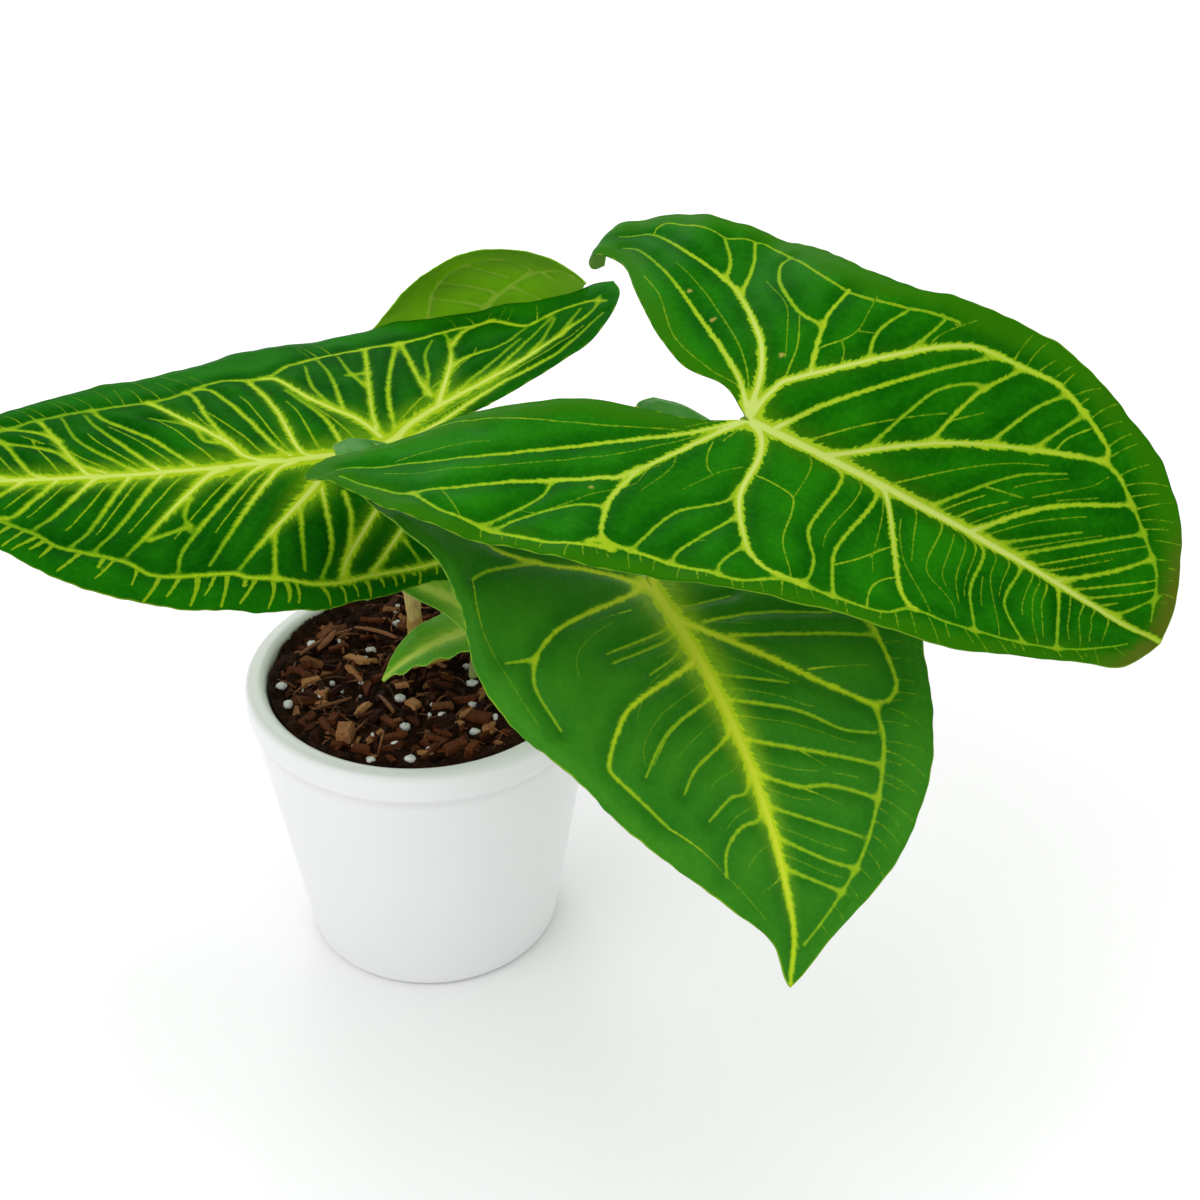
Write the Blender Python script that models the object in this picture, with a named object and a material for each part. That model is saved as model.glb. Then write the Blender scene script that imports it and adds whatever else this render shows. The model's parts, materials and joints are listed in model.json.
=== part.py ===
"""Arrowhead-leaved house plant growing in a small white pot.

The origin is the middle of the pot's underside, +Z is up, and everything is in metres.
Each blade is one flat outline, bent along its midrib and across it, then set at the end of its stalk.
"""

import math

import bpy
import numpy as np
from mathutils import Euler

# The pot
POT_HEIGHT = 0.0945
RIM_RADIUS = 0.0535
RIM_WIDTH = 0.0065
RIM_DEPTH = 0.0090
RIM_STEP = 0.0014
RIM_SQUARENESS = 0.75
BASE_RADIUS = 0.0400
FLOOR_THICKNESS = 0.006
WALL_THICKNESS = 0.0058
DRAIN_RADIUS = 0.0035
DRAIN_RING = 0.0225
DRAIN_COUNT = 4

# The soil
SOIL_LEVEL = 0.0915
SOIL_RELIEF = 0.0009
CHIP_COUNT = 18
CHIP_CLEAR = 0.0048
GRAIN_COUNT = 12
GRAIN_CLEAR = 0.0018
HOLE_DEPTH = 0.018

# All leaves
GAP = 0.0003
BLADE_THICKNESS = 0.0008
RIB_DEPTH = 0.0011
MARGIN_WAVE = 0.007
JUNCTION_SHARE = 0.42

# The outline of half a blade, in shares of the midrib's length: (along the midrib, across it),
# from the tip of the back lobe round the margin to the tip of the leaf, and from the same lobe tip
# down the edge of the notch to the junction.
MARGIN = (
    (-0.74, 0.40),
    (-0.70, 0.475),
    (-0.58, 0.53),
    (-0.36, 0.54),
    (-0.10, 0.505),
    (0.15, 0.475),
    (0.40, 0.41),
    (0.62, 0.30),
    (0.80, 0.16),
    (0.92, 0.06),
    (0.975, 0.022),
    (1.0, 0.0),
)
NOTCH = (
    (-0.74, 0.40),
    (-0.71, 0.335),
    (-0.58, 0.25),
    (-0.38, 0.15),
    (-0.18, 0.07),
    (-0.05, 0.02),
    (0.0, 0.0),
)
WIDTH_STATIONS = (-0.62, -0.20, 0.20, 0.55, 0.86)


def half(
    lobe,
    spread,
    fold,
    fold_back,
    curl,
    curl_back,
    lobe_droop,
    width,
    notch=(0, 0),
    hook=0,
    lobe_shift=(0, 0),
    margin_swell=(0,),
    notch_swell=(0,),
):
    """One half of a blade.

    lobe and width are factors on the outline, notch moves the notch's edge towards the middle,
    spread turns the lobe outwards, fold is the rise from the midrib at its front and back,
    curl bends the half across its width, lobe_droop bends the lobe down, and hook bends its very
    tip down. Angles are in degrees. lobe_shift moves the lobe's end, and the swells push the margin
    and the notch's edge sideways at even steps from the lobe's end, in thousandths of the midrib.
    """
    return dict(
        lobe=lobe,
        spread=spread,
        fold=fold,
        fold_back=fold_back,
        curl=curl,
        curl_back=curl_back,
        lobe_droop=lobe_droop,
        width=width,
        notch=notch,
        hook=hook,
        lobe_shift=lobe_shift,
        margin_swell=margin_swell,
        notch_swell=notch_swell,
    )


# Each leaf: junction is where the stalk meets the blade. azimuth and elevation point the midrib,
# roll turns the blade about it, and droop bends its tip down. foot is where the stalk leaves the soil,
# and stalk_bend is how far it keeps straight up and then straight into the blade, as shares of its reach.
# seat lowers the stalk's head where the blade folds down round it, and tip moves the tip ahead and to the
# left, in shares of the midrib.
LEAVES = {
    "right": dict(
        junction=(0.0926, -0.0397, 0.2024),
        azimuth=-25.5,
        elevation=-14.4,
        roll=11.4,
        length=0.1200,
        droop=12.2,
        foot=(0.0136, 0.0190),
        stalk_radius=0.0022,
        stalk_bend=(0.60, 0.20),
        tip=(-0.013, 0.019),
        left=half(
            0.92, 4.1, 43.3, 3.2, -0.56, -0.10, 74.4, (1.04, 1.03, 0.88, 1.27, 2.24), (-0.71, 0), 80,
            lobe_shift=(-0.018, 0.015),
            margin_swell=(-20, 1, -10, 22, 10, -6, 7, -1, -12, -2, -12, -21, -11, 19, 26),
            notch_swell=(8, 11, 2, -3, -17, -24, 13),
        ),
        right=half(
            1.17, 4.1, 9.2, -3.9, -0.17, 0.30, 53.9, (1.0, 1.16, 1.04, 1.03, 1.41), (-0.44, 0),
            lobe_shift=(-0.053, 0.003),
            margin_swell=(-15, -8, 5, 2, -9, 5, -3, 10, -1, -15, 5, 14, -1, 1, 41),
            notch_swell=(48, 14, -12, -10, -16, 5, 25),
        ),
    ),
    "left": dict(
        junction=(-0.0060, -0.0005, 0.1720),
        azimuth=197.0,
        elevation=0.8,
        roll=-9.0,
        length=0.1401,
        droop=-11.9,
        foot=(-0.0034, 0.0195),
        stalk_radius=0.0018,
        stalk_bend=(0.45, 0.30),
        seat=0.0005,
        left=half(
            0.33, -4.3, -1.2, -48.0, -0.47, -0.76, 52.0, (0.6, 0.52, 0.77, 1.0, 1.02),
            margin_swell=(1, 1, 7, -3, -14, 11, 18, -2, -2, 1, 2, 0, -2, -2, -1),
        ),
        right=half(
            0.79, -0.4, 1.6, 2.7, -0.72, -0.74, -50.9, (0.89, 1.03, 1.0, 0.97, 1.14), (0.25, 0.06),
            lobe_shift=(-0.006, 0.061),
            margin_swell=(-41, -23, 7, 1, 3, 15, 3, 11, -4, -23, -4, 3, 2, 0, -2),
            notch_swell=(-26, -22, -10, -10, -11, -9, -4),
        ),
    ),
    "front": dict(
        junction=(0.0680, -0.0472, 0.1559),
        azimuth=-61.7,
        elevation=-13.2,
        roll=-14.1,
        length=0.1150,
        droop=46.0,
        foot=(0.0265, 0.0120),
        stalk_radius=0.0020,
        stalk_bend=(0.45, 0.30),
        tip=(0.011, -0.035),
        left=half(
            0.94, -1.5, 25.3, 4.5, 0.25, -0.36, 4.6, (1.1, 1.1, 1.07, 1.24, 1.51),
            margin_swell=(0, 0, 0, 0, 0, 0, -1, -1, -2, -3, 0, 7, 7, -3, -7),
        ),
        right=half(
            0.93, 11.3, -8.3, 6.9, -0.61, -0.07, 29.2, (1.0, 0.98, 1.06, 1.0, 0.93),
            margin_swell=(1, 1, 0, -1, 2, -5, 4, 2, -7, -6, 6, 7, 9, 5, -9),
        ),
    ),
    "back": dict(
        junction=(0.0072, 0.0920, 0.1549),
        azimuth=42.1,
        elevation=51.1,
        roll=-93.6,
        length=0.0646,
        droop=107.0,
        foot=(0.0059, 0.0275),
        stalk_radius=0.0016,
        stalk_bend=(0.45, 0.12),
        left=half(0.34, 5.8, -7.8, 12.4, -0.58, -0.12, 4.0, (0.8, 0.77, 0.79, 1.01, 1.14)),
        right=half(
            0.48, -6.1, 3.2, 4.0, -0.38, -0.20, 9.7, (0.93, 1.04, 1.02, 0.98, 0.99),
            margin_swell=(2, 3, 5, 6, 5, 1, 0, 3, -1, -8, -11, -10, -4, 3, 3),
        ),
    ),
    "young_low": dict(
        junction=(0.0194, -0.0031, 0.1120),
        azimuth=212.8,
        elevation=7.9,
        roll=8.0,
        length=0.0362,
        droop=36.4,
        foot=(0.0156, -0.0010),
        stalk_radius=0.0011,
        stalk_bend=(0.45, 0.30),
        left=half(0.44, 0.1, 4.4, 4.8, -0.34, -0.30, 5.0, (0.75, 0.75, 0.75, 0.76, 0.83)),
        right=half(0.45, 0.0, 9.9, 1.8, -0.37, -0.38, 5.0, (0.75, 0.74, 0.73, 0.77, 0.83)),
    ),
    "young_high": dict(
        junction=(0.0177, -0.0135, 0.1250),
        azimuth=154.4,
        elevation=13.9,
        roll=-4.2,
        length=0.0336,
        droop=14.1,
        foot=(0.0068, 0.0150),
        stalk_radius=0.0011,
        stalk_bend=(0.80, 0.12),
        left=half(0.45, -0.2, 16.9, 5.6, -0.12, -0.29, 5.0, (0.6, 0.6, 0.52, 0.62, 0.66)),
        right=half(0.45, 0.1, 10.0, 5.1, -0.30, -0.30, 5.0, (0.6, 0.6, 0.6, 0.6, 0.6)),
    ),
}

COLOURS = {
    "pot": (0.83, 0.84, 0.84),
    "soil": (0.035, 0.018, 0.010),
    "blade": (0.030, 0.135, 0.018),
    "blade_back": (0.160, 0.330, 0.030),
    "blade_young": (0.110, 0.300, 0.055),
    "stalk": (0.190, 0.300, 0.060),
}


def smooth_curve(points, count):
    """count points evenly spaced along the smooth curve through points."""
    points = np.asarray(points, float)
    chord = np.cumsum(np.sqrt(np.linalg.norm(np.diff(points, axis=0), axis=1)))
    knots = np.concatenate([[-chord[0], 0], chord, [2 * chord[-1] - (chord[-2] if len(chord) > 1 else 0)]])
    ends = np.vstack([2 * points[0] - points[1], points, 2 * points[-1] - points[-2]])
    slopes = (ends[2:] - ends[:-2]) / (knots[2:] - knots[:-2])[:, None]
    at = np.linspace(0, chord[-1], 40 * len(points))
    k = np.clip(np.searchsorted(knots[1:-1], at, side="right") - 1, 0, len(points) - 2)
    step = (knots[k + 2] - knots[k + 1])[:, None]
    u = (at - knots[k + 1])[:, None] / step
    curve = (
        (2 * u**3 - 3 * u**2 + 1) * points[k]
        + (u**3 - 2 * u**2 + u) * step * slopes[k]
        + (3 * u**2 - 2 * u**3) * points[k + 1]
        + (u**3 - u**2) * step * slopes[k + 1]
    )
    run = np.concatenate([[0], np.cumsum(np.linalg.norm(np.diff(curve, axis=0), axis=1))])
    even = np.linspace(0, run[-1], count)
    return np.stack([np.interp(even, run, curve[:, axis]) for axis in range(points.shape[1])], 1)


def eased(share):
    """0 to 1 with a soft start and end."""
    share = np.clip(share, 0, 1)
    return share * share * (3 - 2 * share)


def eased_between(stations, values, at):
    """The values at the stations, eased from each station to the next."""
    stations = np.asarray(stations)
    values = np.asarray(values)
    k = np.clip(np.searchsorted(stations, at, side="right") - 1, 0, len(stations) - 2)
    share = eased((at - stations[k]) / (stations[k + 1] - stations[k]))
    return values[k] * (1 - share) + values[k + 1] * share


def swollen(line, swell, shift):
    """A line of the outline pushed sideways by swell, and by shift near its start, the lobe's end."""
    ahead = np.gradient(line, axis=0)
    ahead /= np.linalg.norm(ahead, axis=1)[:, None]
    stations = np.linspace(0, 1, len(swell) + 2)
    course = smooth_curve(np.stack([stations, [0, *swell, 0]], 1), 2000)
    amount = np.interp(np.linspace(0, 1, len(line)), *course.T) / 1000
    run = np.concatenate([[0], np.cumsum(np.linalg.norm(np.diff(line, axis=0), axis=1))])
    sideways = np.stack([-ahead[:, 1], ahead[:, 0]], 1)
    return line + sideways * amount[:, None] + (1 - eased(run / 0.22))[:, None] * np.array(shift)


def flat_half(shape, rows, columns):
    """Half a blade laid flat, in shares of the midrib: a row runs from the notch or midrib to the margin."""
    margin = np.array(MARGIN)
    notch = np.array(NOTCH)
    margin[:, 1] *= eased_between(WIDTH_STATIONS, shape["width"], margin[:, 0])
    back = np.clip(-notch[:, 0] / 0.74, 0, 1)
    near_tip = np.clip(1 - abs(back - 0.74) / 0.26, 0, 1)
    middle = np.clip(1 - abs(back - 0.38) / 0.36, 0, 1)
    notch[:, 1] -= 0.1 * (shape["notch"][0] * near_tip + shape["notch"][1] * middle)
    notch[:, 1] *= shape["width"][0]
    for line in (margin, notch):
        line[:, 0] *= np.where(line[:, 0] < 0, shape["lobe"], 1)
        turn = np.radians(shape["spread"]) * eased(-line[:, 0] / 0.3)
        along, across = line.T.copy()
        line[:, 0] = along * np.cos(turn) + across * np.sin(turn)
        line[:, 1] = across * np.cos(turn) - along * np.sin(turn)
    outer = swollen(smooth_curve(margin, 400), shape["margin_swell"], shape["lobe_shift"])
    inner = swollen(smooth_curve(notch, 400), shape["notch_swell"], shape["lobe_shift"])
    share = np.linspace(0, 1, 400)
    behind = np.minimum(rows / JUNCTION_SHARE, 1)
    ahead = np.maximum((rows - JUNCTION_SHARE) / (1 - JUNCTION_SHARE), 0)
    out = np.stack([np.interp(rows, share, outer[:, axis]) for axis in (0, 1)], 1)
    inn = np.stack([np.interp(behind, share, inner[:, axis]) for axis in (0, 1)], 1)
    inn[:, 0] += ahead
    return inn[:, None] + (out - inn)[:, None] * columns[None, :, None]


def bent_half(leaf, side, rows, columns):
    """Half a blade bent, in the leaf's own frame: midrib along X, side across Y, upper face to Z."""
    shape = leaf["left"] if side > 0 else leaf["right"]
    along, across = np.moveaxis(flat_half(shape, rows, columns), -1, 0)
    share = eased((along + 0.25) / 0.55)
    fold = np.radians(shape["fold_back"] + (shape["fold"] - shape["fold_back"]) * share)
    curl = shape["curl_back"] + (shape["curl"] - shape["curl_back"]) * share
    curl = np.where(abs(curl) < 1e-4, 1e-4, curl)
    sideways = (np.sin(fold + curl * across) - np.sin(fold)) / curl
    rise = (np.cos(fold) - np.cos(fold + curl * across)) / curl
    spine = np.linspace(-1.2, 1.2, 481)
    angle = np.where(
        spine > 0,
        np.radians(leaf["droop"]) * abs(spine) ** 1.3,
        -np.radians(shape["lobe_droop"]) * abs(spine) ** 1.5,
    )
    angle = angle - np.radians(shape["hook"]) * eased((-spine - 0.56) / 0.10)
    reach = np.cumsum(np.cos(angle)) * 0.005
    drop = np.cumsum(-np.sin(angle)) * 0.005
    reach -= np.interp(0, spine, reach)
    drop -= np.interp(0, spine, drop)
    lean = np.interp(along, spine, angle)
    wave = np.clip(across / 0.5, 0, 1.2) ** 2 * np.sin(20 * along + 2 * side)
    rise = rise + MARGIN_WAVE * wave
    ahead, aside = np.array(leaf.get("tip", (0, 0)))[:, None, None] * eased((along - 0.84) / 0.16) ** 2
    points = np.stack(
        [
            np.interp(along, spine, reach) + rise * np.sin(lean) + ahead,
            side * sideways + aside,
            np.interp(along, spine, drop) + rise * np.cos(lean),
        ],
        -1,
    )
    return leaf["length"] * points


def leaf_frame(leaf):
    """Columns: along the midrib, across it to the left, out of the upper face."""
    azimuth, elevation, roll = np.radians([leaf["azimuth"], leaf["elevation"], leaf["roll"]])
    ahead = np.array(
        [
            np.cos(elevation) * np.cos(azimuth),
            np.cos(elevation) * np.sin(azimuth),
            np.sin(elevation),
        ]
    )
    level = np.array([-np.sin(azimuth), np.cos(azimuth), 0])
    left = level * np.cos(roll) + np.cross(ahead, level) * np.sin(roll)
    return np.stack([ahead, left, np.cross(ahead, left)], 1)


def welded(points, faces):
    """The same surface with equal points made one, and which of its points each old one became."""
    _, first, index = np.unique(np.round(points, 7), axis=0, return_index=True, return_inverse=True)
    index = index.reshape(-1)
    faces = index[faces]
    whole = (
        (faces[:, 0] != faces[:, 1]) & (faces[:, 1] != faces[:, 2]) & (faces[:, 2] != faces[:, 0])
    )
    return points[first], faces[whole], index


def grid_faces(rows, columns, flip=False):
    """Triangles over a rows x columns grid of points."""
    corner = (np.arange(rows - 1)[:, None] * columns + np.arange(columns - 1)).reshape(-1)
    quads = np.stack([corner, corner + 1, corner + columns + 1, corner + columns], 1)
    if flip:
        quads = quads[:, ::-1]
    return np.concatenate([quads[:, [0, 1, 2]], quads[:, [0, 2, 3]]])


def vertex_normals(points, faces):
    """The direction out of the surface at each point."""
    across = np.cross(points[faces[:, 1]] - points[faces[:, 0]], points[faces[:, 2]] - points[faces[:, 0]])
    normals = np.zeros_like(points)
    for corner in range(3):
        np.add.at(normals, faces[:, corner], across)
    return normals / np.linalg.norm(normals, axis=1)[:, None]


def thickened(points, faces, depth):
    """A closed body: the surface, the same surface set back by depth, and a wall round its border."""
    count = len(points)
    under = points - vertex_normals(points, faces) * depth[:, None]
    ends = np.concatenate([faces[:, [0, 1]], faces[:, [1, 2]], faces[:, [2, 0]]])
    key = ends[:, 0] * count + ends[:, 1]
    border = ends[~np.isin(key, ends[:, 1] * count + ends[:, 0])]
    start, end = border.T
    wall = np.concatenate(
        [
            np.stack([end, start, start + count], 1),
            np.stack([end, start + count, end + count], 1),
        ]
    )
    return np.vstack([points, under]), np.concatenate([faces, faces[:, ::-1] + count, wall])


def new_object(name, points, faces, colour, roughness, smooth):
    """A mesh object with its own material."""
    mesh = bpy.data.meshes.new(name)
    mesh.from_pydata(points.tolist(), [], faces.tolist())
    mesh.update()
    if smooth:
        mesh.shade_smooth()
    obj = bpy.data.objects.new(name, mesh)
    bpy.context.scene.collection.objects.link(obj)
    if colour is not None:
        material = bpy.data.materials.new(name)
        material.use_nodes = True
        shader = material.node_tree.nodes["Principled BSDF"]
        shader.inputs["Base Color"].default_value = (*colour, 1)
        shader.inputs["Roughness"].default_value = roughness
        mesh.materials.append(material)
    return obj


def make_blade(name, leaf):
    """A blade with a ridge under its midrib, set at its junction."""
    large = leaf["length"] > 0.1
    rows = np.concatenate(
        [
            np.linspace(0, JUNCTION_SHARE, 11 if large else 7)[:-1],
            np.linspace(JUNCTION_SHARE, 1, 22 if large else 13),
        ]
    )
    columns = [0, 0.04, 0.14, 0.28, 0.42, 0.56, 0.71, 0.86, 1] if large else [0, 0.07, 0.3, 0.55, 0.8, 1]
    columns = np.array(columns)
    surfaces = []
    for side in (1, -1):
        grid = bent_half(leaf, side, rows, columns).reshape(-1, 3)
        surfaces.append((grid, grid_faces(len(rows), len(columns), flip=side > 0)))
    points = np.vstack([surfaces[0][0], surfaces[1][0]])
    faces = np.vstack([surfaces[0][1], surfaces[1][1] + len(surfaces[0][0])])
    ridge = np.zeros((2, len(rows), len(columns)))
    ridge[:, rows >= JUNCTION_SHARE, 0] = np.clip(1.3 - rows[rows >= JUNCTION_SHARE], 0, 0.88)
    points, faces, index = welded(points, faces)
    depth = np.zeros(len(points))
    np.maximum.at(depth, index, ridge.reshape(-1))
    depth = BLADE_THICKNESS + RIB_DEPTH * depth * (1 if large else 0.4)
    points = points @ leaf_frame(leaf).T + np.array(leaf["junction"])
    kind = "blade_back" if name == "back" else "blade_young" if name.startswith("young") else "blade"
    points, faces = thickened(points, faces, depth)
    return new_object("blade_" + name, points, faces, COLOURS[kind], 0.38, True)


def make_stalk(name, leaf):
    """A stalk from its hole in the soil up to just under the junction."""
    foot = np.array([*leaf["foot"], SOIL_LEVEL - HOLE_DEPTH + GAP])
    surface = np.array([*leaf["foot"], SOIL_LEVEL + 0.001])
    out = leaf_frame(leaf)[:, 2]
    junction = np.array(leaf["junction"])
    large = leaf["length"] > 0.1
    head = junction - out * (BLADE_THICKNESS + RIB_DEPTH * (1 if large else 0.4) + GAP + leaf.get("seat", 0))
    reach = np.linalg.norm(head - surface)
    t = np.linspace(0, 1, 20)[:, None]
    rise = surface + np.array([0, 0, leaf["stalk_bend"][0] * reach])
    arrive = head - out * leaf["stalk_bend"][1] * reach
    curve = (1 - t) ** 3 * surface + 3 * (1 - t) ** 2 * t * rise + 3 * (1 - t) * t**2 * arrive + t**3 * head
    path = np.vstack([foot, curve])
    ahead = np.gradient(path, axis=0)
    ahead[0] = (0, 0, 1)
    ahead[-1] = out
    ahead /= np.linalg.norm(ahead, axis=1)[:, None]
    run = np.concatenate([[0, 0], np.cumsum(np.linalg.norm(np.diff(curve, axis=0), axis=1))])
    radius = leaf["stalk_radius"] * (0.88 + 0.42 * np.exp(-run / 0.018))
    east = np.array([1.0, 0, 0])
    first = east - ahead * (ahead @ east)[:, None]
    first /= np.linalg.norm(first, axis=1)[:, None]
    second = np.cross(ahead, first)
    sides = 10
    turn = np.arange(sides) * 2 * np.pi / sides
    rings = path[:, None] + radius[:, None, None] * (
        first[:, None] * np.cos(turn)[None, :, None] + second[:, None] * np.sin(turn)[None, :, None]
    )
    points, faces = capped_tube(rings)
    return new_object("stalk_" + name, points, faces, COLOURS["stalk"], 0.45, True)


def capped_tube(rings):
    """A closed tube through rings of points, with a fan at each end."""
    count, sides = rings.shape[:2]
    corner = np.arange(count - 1)[:, None] * sides
    this = np.arange(sides)
    following = (this + 1) % sides
    a, b = (corner + this).reshape(-1), (corner + following).reshape(-1)
    wall = np.concatenate([np.stack([a, b, b + sides], 1), np.stack([a, b + sides, a + sides], 1)])
    low, high = count * sides, count * sides + 1
    last = (count - 1) * sides
    floor = np.stack([following, this, np.full(sides, low)], 1)
    roof = np.stack([last + this, last + following, np.full(sides, high)], 1)
    points = np.vstack([rings.reshape(-1, 3), rings[0].mean(0), rings[-1].mean(0)])
    return points, np.concatenate([wall, floor, roof])


def turned(profile, sides):
    """A body turned about the Z axis from a profile of (radius, height) that starts and ends on the axis."""
    profile = np.asarray(profile, float)
    turn = np.arange(sides) * 2 * np.pi / sides
    rings = np.stack(
        [
            profile[1:-1, :1] * np.cos(turn),
            profile[1:-1, :1] * np.sin(turn),
            np.repeat(profile[1:-1, 1:], sides, 1),
        ],
        -1,
    )
    points, faces = capped_tube(rings)
    points[-2] = (0, 0, profile[0, 1])
    points[-1] = (0, 0, profile[-1, 1])
    return points, faces


def boolean(obj, operation, cutters):
    """Applies one Boolean with every cutter, then removes the cutters."""
    group = bpy.data.collections.new(obj.name + "_" + operation.lower())
    for cutter in cutters:
        cutter.hide_render = True
        cutter.display_type = "WIRE"
        group.objects.link(cutter)
    modifier = obj.modifiers.new(operation.capitalize(), "BOOLEAN")
    modifier.operation = operation
    modifier.operand_type = "COLLECTION"
    modifier.collection = group
    modifier.solver = "EXACT"
    modifier.use_self = operation == "UNION"
    bpy.context.view_layer.update()
    graph = bpy.context.evaluated_depsgraph_get()
    result = bpy.data.meshes.new_from_object(obj.evaluated_get(graph), depsgraph=graph)
    obj.modifiers.remove(modifier)
    obj.data = result
    for cutter in cutters:
        bpy.data.objects.remove(cutter)
    bpy.data.collections.remove(group)


def post(name, x, y, radius, low, high, sides):
    """An upright cylinder to cut with."""
    profile = [(0, low), (radius, low), (radius, high), (0, high)]
    points, faces = turned(profile, sides)
    return new_object(name, points + np.array([x, y, 0]), faces, None, 0, False)


def inner_radius(height):
    """The pot's inner radius at a height."""
    low = BASE_RADIUS - WALL_THICKNESS
    return low + (RIM_RADIUS - RIM_WIDTH - low) * (height / POT_HEIGHT)


def make_pot():
    """The pot: a tapered wall, a thick rounded rim, a flat base and a ring of drainage holes."""
    lip = RIM_WIDTH / 2
    middle = RIM_RADIUS - lip
    bend = np.radians(np.linspace(0, 180, 9))
    across = np.sign(np.cos(bend)) * abs(np.cos(bend)) ** RIM_SQUARENESS
    rim = np.stack([middle + lip * across, POT_HEIGHT - lip + lip * np.sin(bend) ** RIM_SQUARENESS], 1).tolist()
    profile = [
        (0, 0),
        (BASE_RADIUS - 0.0020, 0),
        (BASE_RADIUS - 0.0005, 0.0006),
        (BASE_RADIUS, 0.0022),
        (RIM_RADIUS - RIM_STEP, POT_HEIGHT - RIM_DEPTH - 0.0030),
        (RIM_RADIUS - 0.0003, POT_HEIGHT - RIM_DEPTH),
        *rim,
        (inner_radius(POT_HEIGHT - 0.012), POT_HEIGHT - 0.012),
        (inner_radius(0.011), 0.011),
        (inner_radius(0.011) - 0.0016, FLOOR_THICKNESS + 0.0014),
        (inner_radius(0.011) - 0.0050, FLOOR_THICKNESS),
        (0, FLOOR_THICKNESS),
    ]
    points, faces = turned(profile, 68)
    pot = new_object("pot", points, faces, COLOURS["pot"], 0.25, True)
    angles = (np.arange(DRAIN_COUNT) + 0.5) * 2 * np.pi / DRAIN_COUNT
    holes = [
        post("drain", DRAIN_RING * math.cos(a), DRAIN_RING * math.sin(a), DRAIN_RADIUS, -0.01, 0.02, 20)
        for a in angles
    ]
    boolean(pot, "DIFFERENCE", holes)
    return pot


def soil_height(x, y):
    """The uneven surface of the soil."""
    swell = np.sin(310 * x + 1.1) * np.sin(270 * y + 0.4) + 0.6 * np.sin(640 * x - 480 * y)
    ripple = 0.5 * np.sin(1100 * x + 700 * y + 2.0) * np.sin(900 * y - 500 * x)
    return SOIL_LEVEL + SOIL_RELIEF * (swell + ripple)


def chip(rng, x, y):
    """One flat piece of bark lying in the surface."""
    size = rng.uniform((0.0035, 0.0020, 0.0014), (0.0078, 0.0040, 0.0024)) / 2
    corners = np.array([(a, b, c) for a in (-1, 1) for b in (-1, 1) for c in (-1, 1)], float)
    corners *= size * rng.uniform(0.75, 1.1, (8, 3))
    heading, pitch, roll = rng.uniform(0, np.pi), *rng.normal(0, 0.25, 2)
    turn = Euler((roll, pitch, heading)).to_matrix()
    corners = corners @ np.array(turn).T + (x, y, soil_height(x, y) + 0.0001)
    quads = np.array([(0, 1, 3, 2), (4, 6, 7, 5), (0, 4, 5, 1), (2, 3, 7, 6), (0, 2, 6, 4), (1, 5, 7, 3)])
    return corners, np.concatenate([quads[:, [0, 1, 2]], quads[:, [0, 2, 3]]])


def grain(rng, x, y):
    """One rounded white grain sunk in the surface, as eight-sided rings."""
    radius = rng.uniform(0.0010, 0.0016)
    profile = np.array([(0, -1), (0.75, -0.62), (1, 0.1), (0.65, 0.7), (0, 1)]) * radius
    points, faces = turned(profile, 8)
    return points * rng.uniform(0.8, 1.15, 3) + (x, y, soil_height(x, y) - 0.0002), faces


def make_soil():
    """The soil: a plug that fills the pot, with bark and grains in its surface and a hole for each stalk."""
    top = inner_radius(SOIL_LEVEL) - GAP - 0.0002
    low = FLOOR_THICKNESS + GAP
    profile = [
        (0, low),
        (inner_radius(0.011) - 0.0060, low),
        (inner_radius(0.011) - 0.0016 - 2 * GAP, FLOOR_THICKNESS + 0.0018 + GAP),
        (inner_radius(0.013) - GAP - 0.0002, 0.013),
        (top, SOIL_LEVEL),
    ]
    profile += [(top * share, SOIL_LEVEL) for share in (0.93, 0.84, 0.74, 0.63, 0.52, 0.40, 0.28, 0.14)]
    profile += [(0, SOIL_LEVEL)]
    points, faces = turned(profile, 44)
    surface = points[:, 2] > SOIL_LEVEL - 0.001
    points[surface, 2] = soil_height(points[surface, 0], points[surface, 1])
    soil = new_object("soil", points, faces, COLOURS["soil"], 0.9, False)
    rng = np.random.default_rng(7)
    feet = np.array([leaf["foot"] for leaf in LEAVES.values()])
    pieces = []
    taken = []
    while len(pieces) < CHIP_COUNT + GRAIN_COUNT:
        spot = rng.uniform(-top, top, 2)
        make, clear = (chip, CHIP_CLEAR) if len(pieces) < CHIP_COUNT else (grain, GRAIN_CLEAR)
        in_hole = np.linalg.norm(feet - spot, axis=1).min() < clear + 0.0035
        on_other = any(math.dist(spot, other) < clear + reach for other, reach in taken)
        if np.hypot(*spot) > top - clear or in_hole or on_other:
            continue
        taken.append((spot, clear))
        corners, sides = make(rng, *spot)
        pieces.append(new_object("piece", corners, sides, None, 0, False))
    boolean(soil, "UNION", pieces)
    holes = []
    for leaf in LEAVES.values():
        radius = leaf["stalk_radius"] * 1.30 + GAP
        holes.append(post("hole", *leaf["foot"], radius, SOIL_LEVEL - HOLE_DEPTH, SOIL_LEVEL + 0.02, 20))
    boolean(soil, "DIFFERENCE", holes)
    return soil


for old in list(bpy.data.objects):
    bpy.data.objects.remove(old)
make_pot()
make_soil()
for leaf_name, leaf_values in LEAVES.items():
    make_blade(leaf_name, leaf_values)
    make_stalk(leaf_name, leaf_values)
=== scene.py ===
# %% [markdown]
# # An arrowhead plant in a white pot
# The plant has a few large arrow-shaped leaves on thin stalks, two young leaves low over the soil, and a
# small white pot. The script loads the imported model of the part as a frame, and then makes a finer piece
# over each of its solids: same place, same size, with veins, bark and glaze that the solids don't carry.

# %% Load the frame
import json
import math

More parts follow.
